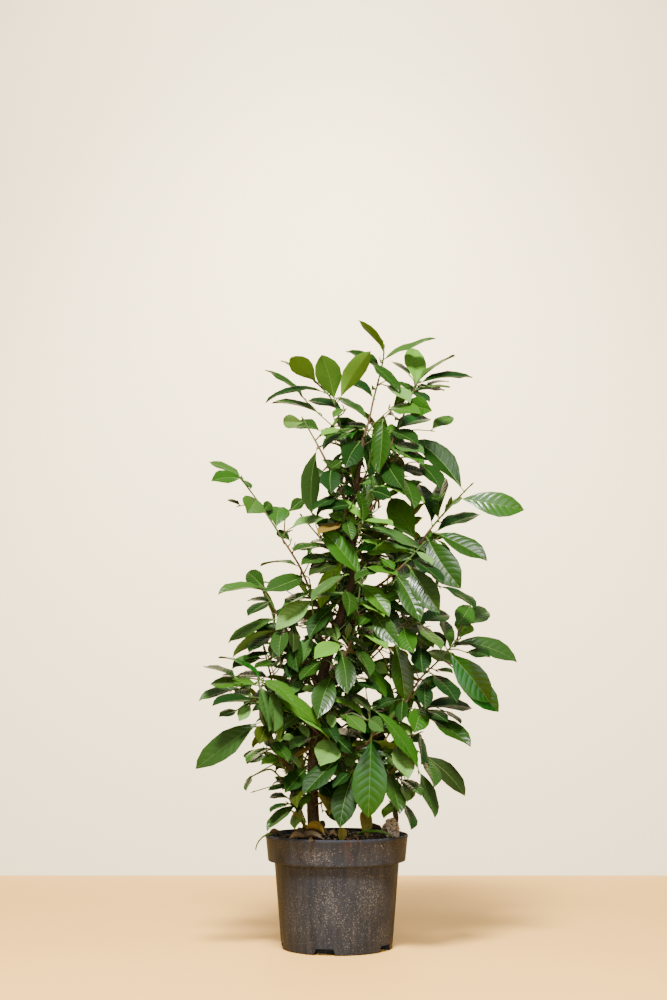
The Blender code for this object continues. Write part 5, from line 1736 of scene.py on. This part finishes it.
class LAUREL_OT_compost(bpy.types.Operator):
    """Models the compost in the pot and the crumbs on its top"""

    bl_idname = "laurel.compost"
    bl_label = "Compost"

    def execute(self, context):
        share = (SOIL_LEVEL - COLLAR_FOOT) / (POT_HEIGHT - COLLAR_FOOT)
        edge = COLLAR_FOOT_RADIUS - WALL - 0.5 + (RIM_RADIUS - COLLAR_FOOT_RADIUS) * share
        profile = [
            (BASE_RADIUS - WALL - 1, CHANNEL_FLOOR + 0.5),
            (BODY_TOP_RADIUS - WALL - 1, COLLAR_FOOT + WALL + 0.5),
            (COLLAR_FOOT_RADIUS - WALL - 1, COLLAR_FOOT + WALL + 2.5), (edge, SOIL_LEVEL - 6),
            (edge - 1.5, SOIL_LEVEL - 2), (edge - 5, SOIL_LEVEL - 0.5),
        ]
        for step in range(1, COMPOST_RINGS):
            far = 1 - step / COMPOST_RINGS
            profile.append(((edge - 5) * far, SOIL_LEVEL + COMPOST_MOUND * (1 - far * far)))
        body = turned_body("compost", profile, COMPOST_SIDES)
        top = body.vertex_groups.new(name="top")
        chosen = [
            vert.index for vert in body.data.vertices
            if vert.co.z > (SOIL_LEVEL - 1) * MM and vert.co.xy.length < (edge - 3) * MM
        ]
        top.add(chosen, 1.0, "REPLACE")
        displace(body, 17.0, 7.0, "top")
        displace(body, 5.0, 4.0, "top")
        finished(body, ["root_ball"], [compost_material()], 60)
        self.crumbs(body, edge)
        return {"FINISHED"}

    def crumbs(self, body, edge):
        """Crumbs, bark chips and root bits strewn over the top."""
        graph = bpy.context.evaluated_depsgraph_get()
        tree = BVHTree.FromObject(body, graph)
        chance = random.Random(SEED + 4)
        shape = bmesh.new()
        bmesh.ops.create_icosphere(shape, subdivisions=1, radius=1.0)
        start = np.array([tuple(vert.co) for vert in shape.verts])
        own = [[vert.index for vert in face.verts] for face in shape.faces]
        shape.free()
        corners, faces, kinds = [], [], []
        for _ in range(sizes().crumbs):
            angle, far = chance.uniform(0, 2 * math.pi), (edge - 4) * math.sqrt(chance.random())
            x, y = far * math.cos(angle), far * math.sin(angle)
            hit = tree.ray_cast(Vector((x * MM, y * MM, 0.3)), Vector((0, 0, -1)))[0]
            kind = chance.choices((0, 1, 2), CRUMB_SHARES)[0]
            size = chance.uniform(*CRUMB_SIZES)
            long = size * chance.uniform(1.0, CRUMB_LENGTHS[kind])
            stretch = (long, size, size * chance.uniform(*CRUMB_HEIGHTS))
            turn = Matrix.Rotation(chance.uniform(0, 6.3), 3, "Z")
            turn = turn @ Matrix.Rotation(chance.uniform(-CRUMB_TILT, CRUMB_TILT), 3, "X")
            rough = np.array([[chance.uniform(*CRUMB_ROUGHNESS)] for _ in start])
            points = (start * rough * stretch) @ np.array(turn).T
            points += (x, y, hit.z / MM + 0.5)
            faces += [[corner + len(corners) * len(start) for corner in face] for face in own]
            kinds += [kind] * len(own)
            corners.append(points)
        # Broken bark in three shades, all dull.
        materials = [
            new_material("bark_crumb_dark", darker(colour("compost"), 1.1), 0.9, 0.2)[0],
            new_material("bark_crumb_brown", darker(colour("bark"), 0.8), 0.85, 0.2)[0],
            new_material("bark_crumb_pale", colour("wood_chip"), 0.85, 0.2)[0],
        ]
        made = mesh_piece("compost_crumbs", np.concatenate(corners), faces, materials, kinds)
        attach(made, "root")
        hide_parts("root_ball")


def drawn_limbs(name, limbs, sides):
    """Limbs drawn as curves with a round bevel and then turned into one mesh."""
    curve = bpy.data.curves.new(name, "CURVE")
    curve.dimensions = "3D"
    curve.bevel_depth = MM
    curve.bevel_resolution = sides // 2 - 2
    curve.use_fill_caps = True
    for path, radii in limbs:
        spline = curve.splines.new("POLY")
        spline.points.add(len(path) - 1)
        for point, place, radius in zip(spline.points, path, radii):
            point.co = (*(place * MM), 1.0)
            point.radius = radius
    made = bpy.data.objects.new(name, curve)
    bpy.context.scene.collection.objects.link(made)
    only(made)
    bpy.ops.object.convert(target="MESH")
    made = bpy.context.object
    edit_all()
    bpy.ops.mesh.remove_doubles(threshold=0.00001)
    bpy.ops.mesh.normals_make_consistent(inside=False)
    bpy.ops.object.mode_set(mode="OBJECT")
    return made


def bark_material():
    # Young cherry laurel bark: thin, dark and matt, with fine ridges along it and pale pores.
    made, tree, shader = new_material("young_laurel_bark", colour("bark"), 0.78, 0.15)
    dark, light = darker(colour("bark"), 0.7), darker(colour("bark"), 1.25)
    place, _, base = clouded(tree, 30.0, 3.0, (0.35, 0.65), dark, light)
    drawn = add_node(tree, "Mapping", {"Vector": place, "Scale": (1.0, 1.0, 0.16)})
    ridges = add_node(tree, "TexNoise", {"Vector": drawn, "Scale": 420.0, "Detail": 4.0})
    groove = add_node(tree, "MapRange", {0: ridges, 1: 0.40, 2: 0.52, 3: 0.55, 4: 0.0})
    base = add_node(tree, "Mix", {0: groove, 6: base, 7: darker(colour("bark"), 0.45)}, data_type="RGBA")
    pores = add_node(tree, "TexVoronoi", {"Vector": place, "Scale": 190.0})
    pore = add_node(tree, "MapRange", {0: pores, 1: 0.10, 2: 0.2, 3: 0.5, 4: 0.0})
    base = add_node(tree, "Mix", {0: pore, 6: base, 7: colour("wood_chip")}, data_type="RGBA")
    tree.links.new(base, shader.inputs["Base Color"])
    relief = add_node(tree, "Bump", {"Height": ridges, "Strength": 0.6, "Distance": 0.0015})
    tree.links.new(relief, shader.inputs["Normal"])
    return made


class LAUREL_OT_wood(bpy.types.Operator):
    """Models the bark of the trunk and of the boughs"""

    bl_idname = "laurel.wood"
    bl_label = "Trunk and boughs"

    def execute(self, context):
        bark = bark_material()
        path = trunk_path(TRUNK_SPANS)
        widths = smooth_path([(station[3], 0, 0) for station in TRUNK], TRUNK_SPANS)
        radii = [width.x for width in widths]
        path = [path[0] - TRUNK_START[0] * UP] + path
        radii = [radii[0] + TRUNK_START[1]] + radii
        trunk = drawn_limbs("trunk_bark", [(path, radii)], TRUNK_SIDES)
        displace(trunk, 22.0, 1.4)
        displace(trunk, 5.0, sizes().bark_relief / MM)
        finished(trunk, ["trunk"], [bark])
        limbs = []
        for name, (_, _, first, last) in BOUGHS.items():
            path = bough_path(name, BOUGH_SPANS)
            swell, rings = BOUGH_SWELL
            radii = tapered(len(path), first, last)
            radii = [r + swell * math.exp(-index / rings) for index, r in enumerate(radii)]
            limbs.append((path, radii))
        for start, end, radius in STUBS:
            start, end = Vector(start), Vector(end)
            path = [start.lerp(end, share) for share in (0, 0.3, 0.6, 0.9, 1)]
            limbs.append((path, [radius] * 4 + [radius * 0.85]))
        boughs = drawn_limbs("bough_bark", limbs, BOUGH_SIDES)
        displace(boughs, 6.0, 0.5)
        finished(boughs, list(BOUGHS), [bark])
        return {"FINISHED"}


class LAUREL_OT_litter(bpy.types.Operator):
    """Models the clump, the fallen leaves and the fibres on the pot"""

    bl_idname = "laurel.litter"
    bl_label = "Litter"

    def execute(self, context):
        chance = random.Random(SEED + 5)
        # Dried leaf: thin, matt and brittle, without wax.
        dead = new_material("dried_laurel_leaf", colour("dead_leaf"), 0.75, 0.2)[0]
        dead_back = darker(colour("dead_leaf"), 1.25)
        dead_under = new_material("dried_laurel_leaf_underside", dead_back, 0.8, 0.2)[0]
        rib = new_material("dried_leaf_stalk", darker(colour("dead_leaf"), 0.8), 0.8, 0.2)[0]
        for name, (tone, curl, nodes, places) in LITTER.items():
            leaves = []
            for root, azimuth, rise, length, width, droop, roll in places:
                angle, climb = math.radians(azimuth), math.radians(rise)
                flat = Vector((math.cos(angle), math.sin(angle), 0))
                heading = math.cos(climb) * flat + math.sin(climb) * UP
                normal = math.cos(climb) * UP - math.sin(climb) * flat
                normal = Matrix.Rotation(math.radians(roll), 3, heading) @ normal
                leaves.append((Vector(root), heading, normal, length, width, droop, ""))
            materials = leaf_materials(tone) + [rib] if tone else [dead, dead_under, rib]
            made = joined_leaves(name, leaves, materials, chance, curl)
            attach(made, "root")
            if nodes:
                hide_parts(*nodes)
        self.clump()
        self.fibres(chance)
        return {"FINISHED"}

    def clump(self):
        deselect()
        (x, y), (wide, deep, high) = CLUMP_PLACE, CLUMP_SIZE
        middle = (x * MM, y * MM, (SOIL_LEVEL + high * CLUMP_RISE) * MM)
        bpy.ops.mesh.primitive_ico_sphere_add(
            subdivisions=5, radius=MM, location=middle, scale=(wide, deep, high)
        )
        made = bpy.context.object
        made.name = "clump_of_bark"
        settle(made)
        displace(made, 11.0, 11.0)
        displace(made, 3.0, 6.0)
        # Broken bark and dry roots pressed into a lump: pale brown, fibrous and dull.
        lump, tree, shader = new_material("pressed_bark_and_roots", colour("wood_chip"), 0.9, 0.1)
        # The pale end, the wood chip's colour lightened more than threefold, is partly the clump's own
        # beige and partly painted light that makes up for the shade it sits in.
        dark, light = darker(colour("bark"), 1.6), darker(colour("wood_chip"), 3.2)
        _, streaks, base = clouded(tree, 260.0, 4.0, (0.36, 0.54), dark, light)
        tree.links.new(base, shader.inputs["Base Color"])
        relief = add_node(tree, "Bump", {"Height": streaks, "Strength": 0.7, "Distance": 0.002})
        tree.links.new(relief, shader.inputs["Normal"])
        finished(made, ["clump"], [lump], 60)

    def fibres(self, chance):
        """Thin roots that hang over the rim and stick out of the clump."""
        limbs = []
        for points, radius in FIBRES:
            path = smooth_path(points, 5)
            limbs.append((path, [radius * (1 - 0.5 * step / len(path)) for step in range(len(path))]))
        for _ in range(CLUMP_FIBRES):
            x, y, z = [chance.uniform(*limits) for limits in CLUMP_FIBRE_FEET]
            low = Vector((CLUMP_PLACE[0] + x, CLUMP_PLACE[1] + y, SOIL_LEVEL + z))
            out = Vector([chance.uniform(*limits) for limits in CLUMP_FIBRE_WAYS])
            bend, end = (low + length * out for length in CLUMP_FIBRE_LENGTHS)
            path = smooth_path([low, bend, end - FIBRE_SAG * UP], 4)
            limbs.append((path, tapered(len(path), *CLUMP_FIBRE_RADII)))
        made = drawn_limbs("root_fibres", limbs, FIBRE_SIDES)
        # Dry root: thin, reddish and dull.
        finished(made, [], [new_material("dry_root_fibre", colour("rust"), 0.8, 0.2)[0]])


class LAUREL_OT_stage(bpy.types.Operator):
    """Sets up the floor, the backdrop, the soft light and the camera"""

    bl_idname = "laurel.stage"
    bl_label = "Studio"

    def execute(self, context):
        deselect()
        bpy.ops.mesh.primitive_plane_add(size=1, location=FLOOR_PLACE)
        floor = bpy.context.object
        floor.name = "studio_floor"
        floor.scale = (*FLOOR_SIZE, 1)
        settle(floor)
        floor.data.materials.append(new_material("matt_painted_board", colour("floor"), 0.7, 0.2)[0])
        deselect()
        upright = (math.radians(90), 0, 0)
        bpy.ops.mesh.primitive_plane_add(size=1, location=BACKDROP_PLACE, rotation=upright)
        wall = bpy.context.object
        wall.name = "studio_backdrop"
        wall.scale = (*BACKDROP_SIZE, 1)
        settle(wall)
        wall.data.materials.append(new_material("matt_painted_wall", colour("wall"), 0.9, 0.1)[0])
        world = bpy.data.worlds.new("soft_studio")
        world.use_nodes = True
        sky = world.node_tree.nodes["Background"]
        sky.inputs[0].default_value = (1.0, 0.985, 0.95, 1.0)
        sky.inputs[1].default_value = WORLD_STRENGTH
        context.scene.world = world
        for name, place, aim, size, power, shade in LIGHTS:
            data = bpy.data.lights.new(name, "AREA")
            data.shape = "DISK"
            data.size = size
            self.hang(context, data, place, aim, power, shade)
        for name, place, aim, cone, power, shade in BACKDROP_LIGHTS:
            data = bpy.data.lights.new(name, "SPOT")
            data.spot_size = math.radians(cone)
            data.spot_blend = 1.0
            data.shadow_soft_size = SPOT_RADIUS
            self.hang(context, data, place, aim, power, shade)
        data = bpy.data.cameras.new("camera")
        data.sensor_fit = "VERTICAL"
        data.sensor_height = 36.0
        data.lens = CAMERA_LENS
        camera = bpy.data.objects.new("camera", data)
        context.scene.collection.objects.link(camera)
        camera.location = CAMERA_PLACE
        camera.rotation_euler = (math.radians(90 + CAMERA_RISE), 0, 0)
        context.scene.camera = camera
        return {"FINISHED"}

    def hang(self, context, data, place, aim, power, shade):
        """Hangs a lamp at its place and turns it to its aim."""
        data.energy = power
        data.color = shade
        lamp = bpy.data.objects.new(data.name, data)
        context.scene.collection.objects.link(lamp)
        lamp.location = place
        lamp.rotation_euler = (Vector(aim) - Vector(place)).to_track_quat("-Z", "Y").to_euler()


class LAUREL_PT_panel(bpy.types.Panel):
    """Lists the laurel's pieces, sizes and colours"""

    bl_idname = "LAUREL_PT_panel"
    bl_label = "Potted cherry laurel"
    bl_space_type = "VIEW_3D"
    bl_region_type = "UI"
    bl_category = "Laurel"

    def draw(self, context):
        for operator in OPERATORS:
            self.layout.operator(operator.bl_idname)
        for group in (context.scene.laurel_sizes, context.scene.laurel_colours):
            column = self.layout.column()
            for name in group.__annotations__:
                column.prop(group, name)


OPERATORS = (
    LAUREL_OT_pot, LAUREL_OT_compost, LAUREL_OT_wood, LAUREL_OT_twigs, LAUREL_OT_leaves,
    LAUREL_OT_litter, LAUREL_OT_stage,
)
CLASSES = (LaurelSizes, LaurelColours, *OPERATORS, LAUREL_PT_panel)


def register():
    for made in CLASSES:
        bpy.utils.register_class(made)
    bpy.types.Scene.laurel_sizes = bpy.props.PointerProperty(type=LaurelSizes)
    bpy.types.Scene.laurel_colours = bpy.props.PointerProperty(type=LaurelColours)


def unregister():
    del bpy.types.Scene.laurel_colours
    del bpy.types.Scene.laurel_sizes
    for made in reversed(CLASSES):
        bpy.utils.unregister_class(made)


def main():
    register()
    bpy.ops.laurel.pot()
    bpy.ops.laurel.compost()
    bpy.ops.laurel.wood()
    bpy.ops.laurel.twigs()
    bpy.ops.laurel.leaves()
    bpy.ops.laurel.litter()
    bpy.ops.laurel.stage()


if __name__ == "__main__":
    main()
